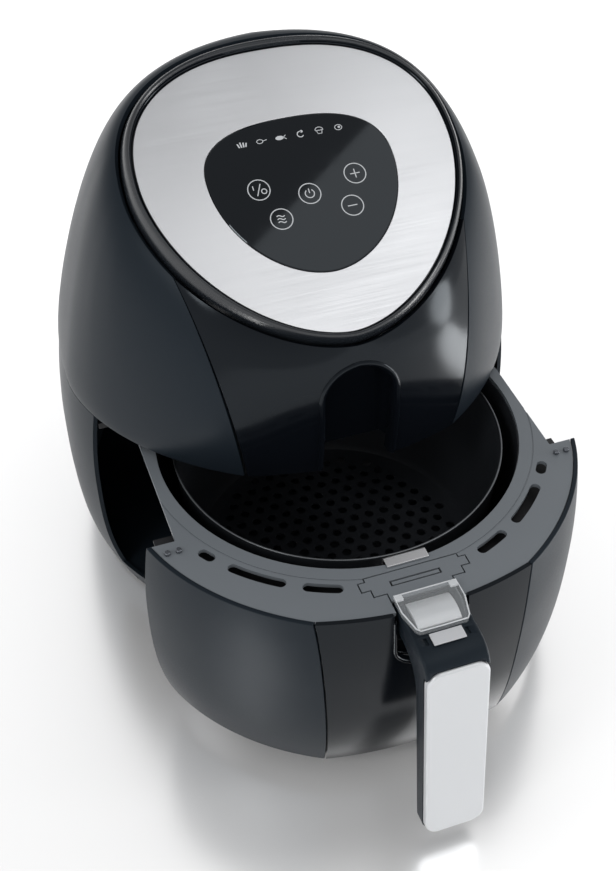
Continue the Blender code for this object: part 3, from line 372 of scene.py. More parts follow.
# ------------------------------------------------------- underside and cord exit
# Under the base a vented black cover closes the bottom and four pressed-in rubber feet carry the
# weight. The cord leaves through a ribbed rubber gland low at the back.
dark = grain("dark_inner_plastic", (0.016, 0.016, 0.018), 0.52, 0.06, 0.15, 1200.0)
rubber = grain("foot_rubber", (0.022, 0.022, 0.022), 0.80, 0.08, 0.30, 1600.0, 0.2)


def refinish(mat, *names):
    """Gives pieces of the frame their finish."""
    for name in names:
        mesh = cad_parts[name].data
        mesh.materials.clear()
        mesh.materials.append(mat)
        for face in mesh.polygons:
            face.material_index = 0
        mesh.shade_smooth()
        mesh.set_sharp_from_angle(angle=math.radians(30.0))


refinish(dark, "bottom_cover")
refinish(rubber, "foot_front_left", "foot_front_right", "foot_rear_left", "foot_rear_right", "cord_gland")


# ------------------------------------------------------ drawer runners and switch
# Two plain runners of black plastic are screwed inside the walls of the base and carry the rails of
# the drawer. A small lever switch behind the pan lets the heater run only when the drawer is shut.
refinish(dark, "runner_left", "runner_right", "drawer_switch")


# ----------------------------------------------------------------- hot-air works
# A pressed steel chamber hangs over the basket on a plastic plate, with a tube heater in it. A shaft
# through its roof carries the steel fan below and the plastic cooling fan, turned by a canned motor.
# The mains board stands behind.
steel = grain("sheet_steel", (0.56, 0.56, 0.57), 0.30, 0.07, 0.12, 260.0, 0.05, 1.0, (1, 12, 1))
element = grain("heating_element", (0.20, 0.17, 0.15), 0.48, 0.12, 0.25, 500.0, 0.35, 1.0)
motor_can = grain("motor_steel", (0.33, 0.33, 0.34), 0.42, 0.08, 0.10, 500.0, 0.08, 1.0)
board = grain("circuit_board", (0.015, 0.085, 0.040), 0.36, 0.08, 0.12, 700.0, 0.2)
refinish(dark, "mid_plate", "cooling_fan")
refinish(steel, "cooking_chamber", "temperature_probe", "motor_bracket", "motor_shaft", "hot_air_fan")
refinish(element, "heating_coil")
refinish(motor_can, "motor", "thermal_cutout")
refinish(board, "power_board")


# ------------------------------------------------------------------- upper shell
# The upper shell is one slate moulding round both sides and the back. It leans in to the ring of the
# sloped panel and meets the gloss front panel along a sharp crease. A black grille snaps in at the back.
TILT = math.radians(29.18)
PANEL_Z = 292.5
PLATE = dict(a=87.8, c=-10.5, up=70.2, dn=102.7, nu=2.4, nd=1.76)
RING_SIDE = 6.2
RING_FRONT = 4.2
RING_CREASE = -0.52
RIM_FRONT = -3.5
RIM_SIDE = -8.0
RIM_REAR = -1.0
HEART = Vector((0.0, 20.0, 190.0))
LOW_ARM = Vector((6.5, -9.5, 46.0))
TOP_ARM = Vector((-7.0, -26.0, -20.0))
LOW_ARM_MID = Vector((0.0, -2.5, 29.0))
TOP_ARM_MID = Vector((0.0, -6.5, -21.0))
QUARTER = 0.5 * math.pi


def shell(name, outer, inner, mat, at_y, angle=32.0):
    """Moulded wall between two grids of points, closed round its rim."""
    rows = len(outer)
    cols = len(outer[0])
    points = [p for row in outer for p in row] + [p for row in inner for p in row]
    back = rows * cols
    faces = []
    for r in range(rows - 1):
        for c in range(cols - 1):
            a = r * cols + c
            faces.append((a, a + 1, a + cols + 1, a + cols))
            faces.append((back + a, back + a + cols, back + a + cols + 1, back + a + 1))
    rim = list(range(cols)) + [r * cols + cols - 1 for r in range(1, rows)]
    rim += [(rows - 1) * cols + c for c in range(cols - 2, -1, -1)] + [r * cols for r in range(rows - 2, 0, -1)]
    for i, a in enumerate(rim):
        b = rim[(i + 1) % len(rim)]
        faces.append((a, back + a, back + b, b))
    return join_mesh(name, points, faces, mat, at_y, angle)


def egg(t, shape, side=0.0, front=0.0):
    """Point across and up the slope on the rounded three-cornered outline; t runs front to rear."""
    n, reach = (shape["nd"], shape["dn"] + front) if t < 0 else (shape["nu"], shape["up"] + side)
    x = (shape["a"] + side) * abs(math.cos(t)) ** (2 / n)
    return (x if x > 1e-4 else 0.0, shape["c"] + reach * signed_pow(math.sin(t), 2 / n))


def on_slope(x, s, h):
    """Point x across, s up and h out of the slope of the panel."""
    return (x, s * math.cos(TILT) - h * math.sin(TILT), PANEL_Z + s * math.sin(TILT) + h * math.cos(TILT))


def rim_height(front, f):
    """How far the rim of the body stands below the slope, along its front or side."""
    if front:
        return RIM_FRONT + (RIM_SIDE - RIM_FRONT) * f * f
    return RIM_SIDE + (RIM_REAR - RIM_SIDE) * max(0.0, (f - 0.3) / 0.7)


def upper_at(front, f, v, inset=0.0):
    """Upper body between the lip (v 0) and the panel ring (v 1)."""
    if front:
        low = Vector(front_at(f, LIP_Z))
        t = -QUARTER + (RING_CREASE + QUARTER) * f
    else:
        t0 = crease_at(LIP_Z)
        low = Vector(side_at(t0 + (QUARTER - t0) * f, LIP_Z))
        t = RING_CREASE + (QUARTER - RING_CREASE) * f ** 1.12
    x, s = egg(t, PLATE, RING_SIDE + SEAM + WALL, RING_FRONT + SEAM + WALL)
    top = Vector(on_slope(x, s, rim_height(front, f)))
    if front:
        low_arm = LOW_ARM_MID.lerp(LOW_ARM, f)
        top_arm = TOP_ARM_MID.lerp(TOP_ARM, f)
    else:
        back = max(0.0, min(1.0, (f - 0.45) / 0.55))
        away = Vector((top.x, top.y + 8.0, 0.0)).normalized()
        plain_low = Vector((0, 0, 0.08 * (top.z - low.z))) + Vector((low.x, low.y, 0)).normalized() * 2.2
        plain_top = away * (23.0 + 13.0 * back) + Vector((0, 0, -14.0 + 20.0 * back))
        near = max(0.0, 1.0 - f / 0.22)
        near = near * near * (3 - 2 * near)
        low_arm = plain_low.lerp(LOW_ARM, near)
        top_arm = plain_top.lerp(TOP_ARM, near)
    u = 1.0 - v
    p = low * u ** 3 + (low + low_arm) * (3 * u * u * v) + (top + top_arm) * (3 * u * v * v) + top * v ** 3
    if inset > 0.0:
        way = p - HEART
        if v == 0.0:
            way.z = 0.0
        p = p - way.normalized() * inset
    return (p.x if abs(p.x) > 1e-3 else 0.0, p.y, p.z)


ROWS = heights(0.0, 1.0, 42)
TRIM = 0.006
side_stops = heights(TRIM * 0.7, 0.22, 22) + heights(0.22, 1.0, 46)[1:]


def side_grid(inset):
    half = [[upper_at(False, f, v, inset) for f in side_stops] for v in ROWS]
    return [row + [(-p[0], p[1], p[2]) for p in reversed(row[:-1])] for row in half]


upper = shell("upper_moulding", side_grid(0.0), side_grid(WALL), slate, BODY_Y)
grille_low, grille_high = (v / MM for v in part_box("outlet_grille"))
window = [grille_high[i] - grille_low[i] + 0.6 for i in range(3)]
cut(upper, block("window", (window[0], 120, window[2]),
                 (0, SIDE_Y + REAR_R, 0.5 * (grille_low[2] + grille_high[2])), BODY_Y))
fit(soften(upper, 0.45), "housing", "slate_plastic", "side_shell")
refinish(dark, "outlet_grille")


# ------------------------------------------------------------------- front panel
# The front panel is polished black ABS. An arch is cut in it for the thumb, and a rounded bead runs
# round the arch down to the lip, where the niche behind it is moulded in.
gloss = grain("gloss_black_plastic", (0.0040, 0.0052, 0.0075), 0.14, 0.03, 0.010, 60.0, 0.15,
              shine=0.20, tint=(0.82, 0.92, 1.0))
ARCH_HALF = 22.5
ARCH_TOP = 221.0
front_stops = heights(0.0, 1.0 - TRIM, 26)


def front_grid(inset):
    half = [[upper_at(True, f, v, inset) for f in front_stops] for v in ROWS]
    return [[(-p[0], p[1], p[2]) for p in reversed(row)] + row[1:] for row in half]


def arch(half_width, top, bottom, steps=28):
    """Round-headed opening as (x, z) points, from its right foot to its left."""
    spring = top - half_width
    points = [(half_width * math.cos(math.pi * i / steps), spring + half_width * math.sin(math.pi * i / steps))
              for i in range(steps + 1)]
    return [(half_width, bottom)] + points + [(-half_width, bottom)]


def arch_ring(half_width, top, bottom, y, lean=0.0):
    return [(x, y + lean * (z - LIP_Z), z) for x, z in arch(half_width, top, bottom)]


def surface(ob):
    """Outside of a moulding as it is before the next cut, to lay a bead on."""
    return BVHTree.FromPolygons([v.co for v in ob.data.vertices], [f.vertices for f in ob.data.polygons])


panel = shell("front_gloss", front_grid(0.0), front_grid(WALL), gloss, BODY_Y)
panel_face = surface(panel)
arch_cut = [arch_ring(ARCH_HALF, ARCH_TOP, LIP_Z - 4, y) for y in (-130, -90)]
cut(panel, skin_over("arch", arch_cut, gloss, BODY_Y))
fit(soften(panel, 0.6, 3), "housing", "gloss_black_plastic", "front_panel")


def collar(name, path, face, profile, mat, at_y):
    """Rounded bead along an opening; path is (x, z) and profile is (out of the opening, into the wall)."""
    loops = []
    for i, (x, z) in enumerate(path):
        a = path[max(0, i - 1)]
        b = path[min(len(path) - 1, i + 1)]
        way = Vector((b[0] - a[0], b[1] - a[1])).normalized()
        hit = face.ray_cast(Vector((x, at_y - 300.0, z)) * MM, Vector((0, 1, 0)))[0]
        y = hit.y / MM - at_y
        loops.append([(x + way.y * d, y + h, z - way.x * d) for d, h in profile])
    return skin_over(name, loops, mat, at_y, angle=60.0)


arch_path = arch(ARCH_HALF, ARCH_TOP, LIP_Z + 0.4, 44)
arch_path = [(arch_path[0][0], LIP_Z + 0.4 + k * 6.0) for k in range(8)] + arch_path[1:-1] + [
    (arch_path[-1][0], LIP_Z + 0.4 + k * 6.0) for k in range(7, -1, -1)]
bead_profile = [(0.9, -0.06), (0.6, -0.45), (0.0, -0.95), (-0.9, -1.15), (-1.9, -0.75), (-2.7, 0.2),
                (-3.2, 1.6), (-3.4, 3.6), (-3.4, 6.4), (-2.6, 6.4), (-2.4, 3.4), (-1.6, 1.2),
                (-0.3, 0.5), (-0.3, -0.06)]
fit(collar("arch_bead", arch_path, panel_face, bead_profile, gloss, BODY_Y), "housing", "gloss_black_plastic")
niche = skin_over("niche_cup", [
    arch_ring(ARCH_HALF + 1.6, ARCH_TOP + 1.6, LIP_Z + 8, -103.5, 0.036),
    arch_ring(ARCH_HALF + 1.6, ARCH_TOP + 1.6, LIP_Z + 8, -91.6)], gloss, BODY_Y)
cut(niche, skin_over("niche_hollow", [
    arch_ring(ARCH_HALF - 0.4, ARCH_TOP - 0.4, LIP_Z - 4, -125.0),
    arch_ring(ARCH_HALF - 0.4, ARCH_TOP - 0.4, LIP_Z - 4, -102.0),
    arch_ring(ARCH_HALF - 5.0, ARCH_TOP - 5.0, LIP_Z - 4, -93.6)], gloss, BODY_Y))
fit(niche, "housing", "gloss_black_plastic", "thumb_niche")


# ----------------------------------------------------------- ring, plate and glass
# A satin black ring holds a plate of brushed aluminium on the slope; a darker gloss liner on its inner wall is
# partly the ring's black lip and partly painted shade in the recess round the plate. The touch glass, printed
# black behind, sits in an opening of the plate with its board and frame under it.
GLASS = dict(a=52.4, c=-17.3, up=32.8, dn=60.7, nu=2.55, nd=1.88)


def slope_ring(shape, h, side=0.0, front=None, follow=0.0, steps=64):
    """Outline laid on the slope at a height h, grown at its side and front."""
    front = side if front is None else front
    half = []
    for i in range(2 * steps + 1):
        t = -QUARTER + math.pi * i / (2 * steps)
        x, s = egg(t, shape, side, front)
        if t < RING_CREASE:
            rise = rim_height(True, (t + QUARTER) / (RING_CREASE + QUARTER))
        else:
            rise = rim_height(False, ((t - RING_CREASE) / (QUARTER - RING_CREASE)) ** (1 / 1.12))
        half.append((0.0 if i in (0, 2 * steps) else x, s, h + follow * rise))
    return [on_slope(*p) for p in mirrored(half)]


def black_ring(q, h, follow):
    return slope_ring(PLATE, h, q, q if q <= 0 else q * RING_FRONT / RING_SIDE, follow)


ring_satin = grain("ring_satin", (0.014, 0.017, 0.021), 0.24, 0.05, 0.06, 1500.0)
ring = skin_over("panel_ring", [black_ring(*row) for row in (
    (RING_SIDE, -5.0, 1.0), (RING_SIDE, 0.6, 1.0), (5.8, 1.9, 0.9), (4.8, 3.0, 0.6), (3.6, 3.4, 0.3),
    (2.5, 2.9, 0.1), (1.6, 1.5, 0.0), (1.3, -0.4, 0.0), (1.3, -1.6, 0.0), (-4.0, -1.6, 0.0),
    (-4.0, -4.4, 0.0))], ring_satin, BODY_Y, ring=True, angle=50.0)
fit(ring, "housing", "gloss_black_plastic", "bezel_ring")
# The liner is a darker black gloss than the ring: partly the ring's own black inner lip, partly painted shade
# in the recess between ring and plate.
liner_and_shade = skin_over("ring_liner_and_shade", [black_ring(*row) for row in (
    (3.5, 3.42, 0.3), (3.3, 3.5, 0.28), (1.0, -0.2, 0.0), (0.5, 0.05, 0.0), (0.5, -0.02, 0.0),
    (1.25, -0.4, 0.0), (1.5, 1.6, 0.0))], gloss, BODY_Y, ring=True, angle=50.0)
fit(liner_and_shade, "housing", "gloss_black_plastic")

brushed = grain("brushed_aluminium", (0.80, 0.81, 0.83), 0.40, 0.07, 0.13, 1100.0, 0.03, 1.0, (0.015, 1, 1))
brushed.node_tree.nodes["Principled BSDF"].inputs["Anisotropic"].default_value = 0.5
plate = skin_over("brushed_plate", [
    slope_ring(PLATE, -1.2), slope_ring(PLATE, -0.3), slope_ring(PLATE, 0.0, -0.3),
    slope_ring(GLASS, 0.0, 0.5), slope_ring(GLASS, -0.2, 0.3), slope_ring(GLASS, -1.2, 0.3)],
    brushed, BODY_Y, ring=True, angle=25.0)
fit(plate, "housing", "brushed_aluminium", "top_plate")

glass = grain("touch_glass", (0.0025, 0.003, 0.0045), 0.045, 0.012, 0.0, 90.0, 0.1, shine=0.42,
              tint=(0.84, 0.93, 1.0))
pane = skin_over("touch_pane", [slope_ring(GLASS, -2.0), slope_ring(GLASS, 0.0), slope_ring(GLASS, 0.3, -0.5)],
                 glass, BODY_Y, angle=25.0)
fit(pane, "housing", "touch_glass", "touch_glass")
refinish(dark, "display_frame")
refinish(board, "control_board")


# ---------------------------------------------------------------- printed symbols
# Keys and dish symbols are screen printed in pale grey on the glass: five ringed keys below a row of
# six small pictures of food.
ink = grain("printed_ink", (0.62, 0.64, 0.66), 0.45, 0.05, 0.05, 900.0, 0.05)
INK_H = 0.34
slope_place = Matrix.Translation((0, BODY_Y * MM, PANEL_Z * MM)) @ Matrix.Rotation(TILT, 4, "X")


def printed(name, strokes=(), fills=(), width=0.55):
    """Symbol of open or closed strokes and filled shapes, points in millimetres on the glass."""
    bm = bmesh.new()
    for points, closed in strokes:
        count = len(points)
        left = []
        right = []
        for i, (x, y) in enumerate(points):
            if closed:
                a, b = points[i - 1], points[(i + 1) % count]
            else:
                a, b = points[max(0, i - 1)], points[min(count - 1, i + 1)]
            way = Vector((b[0] - a[0], b[1] - a[1])).normalized() * 0.5 * width
            left.append(bm.verts.new(((x - way.y) * MM, (y + way.x) * MM, INK_H * MM)))
            right.append(bm.verts.new(((x + way.y) * MM, (y - way.x) * MM, INK_H * MM)))
        for i in range(count if closed else count - 1):
            j = (i + 1) % count
            bm.faces.new((right[i], right[j], left[j], left[i]))
    for points in fills:
        bm.faces.new([bm.verts.new((x * MM, y * MM, INK_H * MM)) for x, y in points])
    made = bmesh.ops.extrude_face_region(bm, geom=list(bm.faces))
    down = [v for v in made["geom"] if isinstance(v, bmesh.types.BMVert)]
    bmesh.ops.translate(bm, verts=down, vec=(0, 0, -0.03 * MM))
    bmesh.ops.recalc_face_normals(bm, faces=bm.faces)
    mesh = bpy.data.meshes.new(name)
    bm.to_mesh(mesh)
    bm.free()
    mesh.transform(slope_place)
    mesh.materials.append(ink)
    ob = bpy.data.objects.new(name, mesh)
    scene.collection.objects.link(ob)
    return fit(ob, "housing", "touch_glass")


def circle(x, y, radius, a0=0.0, a1=360.0, steps=40, squash=1.0):
    return [(x + radius * math.cos(math.radians(a0 + (a1 - a0) * i / steps)),
             y + squash * radius * math.sin(math.radians(a0 + (a1 - a0) * i / steps)))
            for i in range(steps + (0 if a1 - a0 == 360.0 else 1))]


KEY_R = 6.0
KEYS = {"toggle": (-26.3, -24.1), "plus": (27.9, -25.1), "power": (0.0, -31.8), "heat": (-19.3, -43.2),
        "minus": (20.7, -43.4)}
for key, (kx, ky) in KEYS.items():
    strokes = [(circle(kx, ky, KEY_R), True)]
    if key in ("plus", "minus"):
        strokes.append(([(kx - 2.7, ky), (kx + 2.7, ky)], False))
    if key == "plus":
        strokes.append(([(kx, ky - 2.7), (kx, ky - 0.3)], False))
        strokes.append(([(kx, ky + 0.3), (kx, ky + 2.7)], False))
    if key == "power":
        strokes.append((circle(kx, ky, 2.5, 125.0, 415.0, 24), False))
        strokes.append(([(kx, ky + 0.2), (kx, ky + 3.0)], False))
    if key == "toggle":
        strokes.append(([(kx - 1.6, ky - 3.4), (kx + 1.6, ky + 3.4)], False))
        strokes.append(([(kx - 2.8, ky + 0.2), (kx - 2.8, ky + 2.8)], False))
        strokes.append((circle(kx + 2.6, ky - 1.3, 1.4, steps=18), True))
    if key == "heat":
        for row in (-1.8, 0.0, 1.8):
            strokes.append(([(kx - 2.2 + 4.4 * i / 12, ky + row + 0.5 * math.sin(math.tau * i / 12))
                             for i in range(13)], False))
    printed("key_" + key, strokes)

MENU_S = 3.9
x0, x1, x2, x3, x4, x5 = (-27.5, -16.5, -5.6, 5.6, 16.5, 27.5)
chips = [[(x0 + dx - 0.4, MENU_S - 1.6), (x0 + dx + 0.4, MENU_S - 1.6),
          (x0 + dx * 1.4 + 0.4, MENU_S + top), (x0 + dx * 1.4 - 0.4, MENU_S + top)]
         for dx, top in ((-1.8, 0.9), (-0.6, 1.6), (0.6, 1.2), (1.8, 0.8))]
printed("menu_chips", [], chips, 0.4)
printed("menu_leg", [(circle(x1 - 1.0, MENU_S, 1.7, squash=0.7, steps=22), True),
                     ([(x1 + 0.7, MENU_S), (x1 + 3.0, MENU_S + 0.5)], False)], [], 0.4)
printed("menu_fish", [([(x2 + 1.4, MENU_S), (x2 + 3.0, MENU_S + 1.2)], False),
                      ([(x2 + 1.4, MENU_S), (x2 + 3.0, MENU_S - 1.2)], False)],
        [circle(x2 - 0.7, MENU_S, 2.3, squash=0.55, steps=22)], 0.4)
printed("menu_shrimp", [(circle(x3, MENU_S, 1.7, 60.0, 330.0, 22), False)],
        [circle(x3 + 1.0, MENU_S + 1.6, 0.8, steps=14)], 0.55)
printed("menu_cake", [(circle(x4, MENU_S + 0.5, 2.2, 0.0, 180.0, 18, 0.8), False),
                      ([(x4 - 2.2, MENU_S + 0.3), (x4 + 2.2, MENU_S + 0.3)], False),
                      ([(x4 - 1.5, MENU_S), (x4 - 1.1, MENU_S - 1.7), (x4 + 1.1, MENU_S - 1.7),
                        (x4 + 1.5, MENU_S)], False)], [], 0.4)
printed("menu_steak", [(circle(x5, MENU_S, 2.0, squash=0.8, steps=22), True)],
        [circle(x5 + 0.4, MENU_S + 0.1, 0.7, steps=14)], 0.4)


# ------------------------------------------------------------------ drawer front
# Three mouldings clip to a black carrier: a satin slate piece at each side and a polished black piece
# in the middle. A bead runs round its U-shaped notch, and the recess behind takes the handle neck.
DRAWER_Y = mid_y("drawer_pan") - AXIS_Y
DRAWER_Z = 20.4
DRAWER_TUCK = 4.4
FASCIA_T = 2.6
NOTCH_HALF = 20.5
NOTCH_Z = 106.0
NOTCH_DEEP = 14.0
NOTCH_BACK = -92.6
LEVELS = heights(DRAWER_Z, 145.0, 30)


def split_at(z, inset, y):
    """Angle at which the side reaches y on its front half."""
    return -math.asin(((SIDE_Y - y) / (FRONT_R + swell(z) - inset)) ** (FRONT_N / 2))


def drawer_side(f, z, inset=0.0, end=SPLIT_Y - SEAM):
    """Side of the drawer from the crease (0) to its rear edge (1), drawn in a little towards the rear."""
    t0 = crease_at(z, inset)
    x, y, z = side_at(t0 + (split_at(z, inset, end) - t0) * f, z, inset)
    return (x - DRAWER_TUCK * f * f, y, z)


for sign, label in ((-1, "left"), (1, "right")):
    stops = heights(TRIM, 1.0, 30)
    grids = [[[(sign * p[0], p[1], p[2]) for p in [drawer_side(f, z, inset) for f in stops]] for z in LEVELS]
             for inset in (0.0, FASCIA_T)]
    wing = shell("drawer_wing_" + label, grids[0], grids[1], slate, DRAWER_Y)
    fit(soften(wing, 0.5, 3), "drawer", "slate_plastic", "fascia_" + label)


def notch(name, spread, deep, top, reach, mat):
    """U-shaped plug, wider than the notch by its spread."""
    half = NOTCH_HALF + spread
    outline = [(half, top)]
    outline += [(half * math.cos(a), NOTCH_Z + NOTCH_DEEP + deep * math.sin(a))
                for a in [-math.pi * i / 28 for i in range(29)]]
    outline += [(-half, top)]
    return skin_over(name, [[(x, y, z) for x, z in outline] for y in reach], mat, DRAWER_Y)


middle = []
for inset in (0.0, FASCIA_T):
    half = [[front_at(f, z, inset) for f in heights(0.0, 1.0 - TRIM, 24)] for z in LEVELS]
    middle.append([[(-p[0], p[1], p[2]) for p in reversed(row)] + row[1:] for row in half])
centre = shell("drawer_middle", middle[0], middle[1], gloss, DRAWER_Y)
middle_face = surface(centre)
cut(centre, notch("notch", 0.0, NOTCH_DEEP, 160.0, (-130, -90), gloss))
fit(soften(centre, 0.5, 3), "drawer", "gloss_black_plastic", "fascia_centre")
notch_path = [(-NOTCH_HALF, z) for z in heights(140.0, NOTCH_Z + NOTCH_DEEP + 1.0, 5)]
notch_path += [(-NOTCH_HALF * math.cos(a), NOTCH_Z + NOTCH_DEEP - NOTCH_DEEP * math.sin(a))
               for a in [math.pi * i / 36 for i in range(37)]]
notch_path += [(NOTCH_HALF, z) for z in heights(NOTCH_Z + NOTCH_DEEP + 1.0, 140.0, 5)]
slim_profile = [(0.5 * d, 0.55 * h) for d, h in bead_profile]
notch_bead = collar("notch_bead", notch_path, middle_face, slim_profile, gloss, DRAWER_Y)
fit(notch_bead, "drawer", "gloss_black_plastic")
recess = notch("recess_cup", 1.55, NOTCH_DEEP + 1.6, 141.0, (-103.8, NOTCH_BACK), gloss)
cut(recess, notch("recess_hollow", 0.0, NOTCH_DEEP, 160.0, (-130, NOTCH_BACK - 2.0), gloss))
fit(soften(recess, 0.5, 3), "drawer", "gloss_black_plastic", "handle_recess")
refinish(dark, "front_carrier")


# ------------------------------------------------------------------- drawer deck
# A satin grey tray of PBT frames the pan. It has curved air slots round the front over a black channel,
# a shallow step round the opening, rail edges at both sides and two locating pins at each end.
satin = grain("satin_grey_plastic", (0.178, 0.196, 0.214), 0.38, 0.06, 0.14, 1300.0, 0.08)
DECK_TOP = 144.5
DECK_T = 2.5
PAN_R = 104.5
DECK_HALF = PAN_R + 6.3
RAIL_W = 7.0
GAP = 0.3
STEPS = ((26.0, -78.0), (26.0, -80.4), (29.9, -80.4), (29.9, -85.8), (25.0, -85.8), (25.0, -90.6),
         (17.8, -90.6), (17.8, -96.0))
RAIL_STOP = 4.0                     # from the end of the rail to the end of its runner
rail_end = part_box("runner_left")[1].y / MM - BODY_Y - RAIL_STOP
deck_in = FASCIA_T + GAP
ROOT_SEAM = 0.75
outline = [(0.0, STEPS[0][1] + ROOT_SEAM), (STEPS[0][0] + ROOT_SEAM, STEPS[0][1] + ROOT_SEAM)]
outline += [(x + ROOT_SEAM, y + (ROOT_SEAM if i < 2 else -ROOT_SEAM)) for i, (x, y) in enumerate(STEPS[1:7])]
first = (STEPS[-1][0] + ROOT_SEAM) / front_at(1.0, DECK_TOP, deck_in)[0]
outline += [front_at(first + (1 - first) * i / 14, DECK_TOP, deck_in)[:2] for i in range(14)]
outline += [drawer_side(i / 40, DECK_TOP, deck_in)[:2] for i in range(41)]
rail_a = math.acos((DECK_HALF - RAIL_W) / DECK_HALF)
outline += [(DECK_HALF, SPLIT_Y - SEAM), (DECK_HALF, rail_end - 5.0), (DECK_HALF - 1.6, rail_end),
            (DECK_HALF - RAIL_W, rail_end)]
outline += [(DECK_HALF * math.cos(a), AXIS_Y + DECK_HALF * math.sin(a))
            for a in [rail_a + (QUARTER - rail_a) * i / 30 for i in range(30)]] + [(0.0, AXIS_Y + DECK_HALF)]
deck = slab("drawer_tray", mirrored(outline), DECK_TOP - DECK_T, DECK_TOP, satin, DRAWER_Y)


def disc(radius, z0, z1, at=(0.0, AXIS_Y), sides=128, name="disc", mat=satin, at_y=DRAWER_Y):
    """Round upright bar, about the pan's axis unless told otherwise."""
    spots = [(at[0] + radius * math.cos(math.tau * i / sides), at[1] + radius * math.sin(math.tau * i / sides))
             for i in range(sides)]
    return slab(name, spots, z0, z1, mat, at_y)


cut(deck, disc(PAN_R + 0.5, 120, 160))
SLOT_R = 118.5
SLOT_W = 2.9


def air_slot(low, high, sign, turns=10):
    """Long slot with round ends, along the deck between two angles in degrees."""
    a0 = math.radians(low) + SLOT_W / SLOT_R
    a1 = math.radians(high) - SLOT_W / SLOT_R

    def along(radius, a, b):
        angles = [a + (b - a) * i / 16 for i in range(17)]
        return [(radius * math.sin(g), AXIS_Y - radius * math.cos(g)) for g in angles]

    def end(a, start):
        angles = [a - QUARTER + start + math.pi * i / turns for i in range(1, turns)]
        return [(SLOT_R * math.sin(a) + SLOT_W * math.cos(b),
                 AXIS_Y - SLOT_R * math.cos(a) + SLOT_W * math.sin(b)) for b in angles]

    spots = along(SLOT_R + SLOT_W, a0, a1) + end(a1, 0.0) + along(SLOT_R - SLOT_W, a1, a0) + end(a0, math.pi)
    return slab("slot", [(sign * x, y) for x, y in spots], 130, 160, satin, DRAWER_Y)


for low, high in ((18.7, 29.0), (33.1, 49.0), (53.2, 58.2)):
    for sign in (-1, 1):
        cut(deck, air_slot(low, high, sign))
step = disc(PAN_R + 8.6, DECK_TOP - 0.35, DECK_TOP + 5)
cut(step, disc(PAN_R + 7.9, DECK_TOP - 5, DECK_TOP + 10))
cut(deck, step)
fit(soften(deck, 0.35, 2), "drawer", "satin_grey_plastic", "drawer_deck")

CHANNEL_IN = FASCIA_T + 2.8
channel = [front_at(i / 14, 127.0, CHANNEL_IN)[:2] for i in range(14)]
channel += [drawer_side(i / 30, 127.0, CHANNEL_IN)[:2] for i in range(31)]
channel += [(channel[-1][0] - 3.0, channel[-1][1] + 2.0), (channel[-1][0] - 3.0, -6.0)]
pan_end = -math.asin((AXIS_Y - channel[-1][1]) / (PAN_R + 3.2))
round_pan = [pan_end + (-QUARTER - pan_end) * i / 30 for i in range(30)]
channel += [((PAN_R + 3.2) * math.cos(a), AXIS_Y + (PAN_R + 3.2) * math.sin(a)) for a in round_pan]
channel += [(0.0, AXIS_Y - PAN_R - 3.2)]
trough = slab("air_channel", mirrored(channel), 133.0, 134.2, dark, DRAWER_Y)
cut(trough, block("recess_room", (46.4, 40.0, 20.0), (0, -111.6, 133.6), DRAWER_Y))
fit(trough, "drawer", "dark_inner_plastic")

pin_steel = grain("pin_steel", (0.16, 0.17, 0.19), 0.28, 0.06, 0.06, 700.0, 0.05, 0.8)
for sign, label in ((-1, "left"), (1, "right")):
    for x, side in ((111.0, "inner"), (117.2, "outer")):
        pin = disc(1.7, DECK_TOP + 0.02, DECK_TOP + 2.1, (sign * x, -27.6), 24,
                   "pin_%s_%s" % (label, side), pin_steel)
        fit(soften(pin, 0.6, 3), "drawer", "satin_grey_plastic")


# --------------------------------------------------------------- pan and basket
# Pan and basket are deep-drawn steel with a satin non-stick coat. The basket's floor is punched with
# staggered round holes, and its rolled rim is a thin tube of brighter metal that draws a pale line round the
# top.
nonstick = grain("nonstick_coating", (0.026, 0.029, 0.034), 0.40, 0.08, 0.20, 800.0, 0.2)
bright_rim = grain("bright_rim", (0.20, 0.21, 0.22), 0.34, 0.08, 0.08, 500.0, 0.06, 1.0)
PAN_FLOOR = 25.0
BASKET_R = PAN_R - 8.6
BASKET_TOP = 140.2
BASKET_FLOOR = 45.0
FLANGE = DECK_TOP - DECK_T - GAP
STUD_AT = BASKET_R - 21.9


def turned(name, profile, mat, sides=160):
    """Turned piece about the pan's axis from (radius, height) points, open at the axis only."""
    inner = [p for p in profile if p[0] > 0.0]
    points = [(r * math.cos(math.tau * i / sides), AXIS_Y + r * math.sin(math.tau * i / sides), z)
              for r, z in inner for i in range(sides)]
    faces = []
    for k in range(len(inner) - 1):
        for i in range(sides):
            j = (i + 1) % sides
            faces.append((k * sides + i, k * sides + j, (k + 1) * sides + j, (k + 1) * sides + i))
    faces.append(tuple(range(sides))[::-1])
    faces.append(tuple((len(inner) - 1) * sides + i for i in range(sides)))
    return join_mesh(name, points, faces, mat, DRAWER_Y)


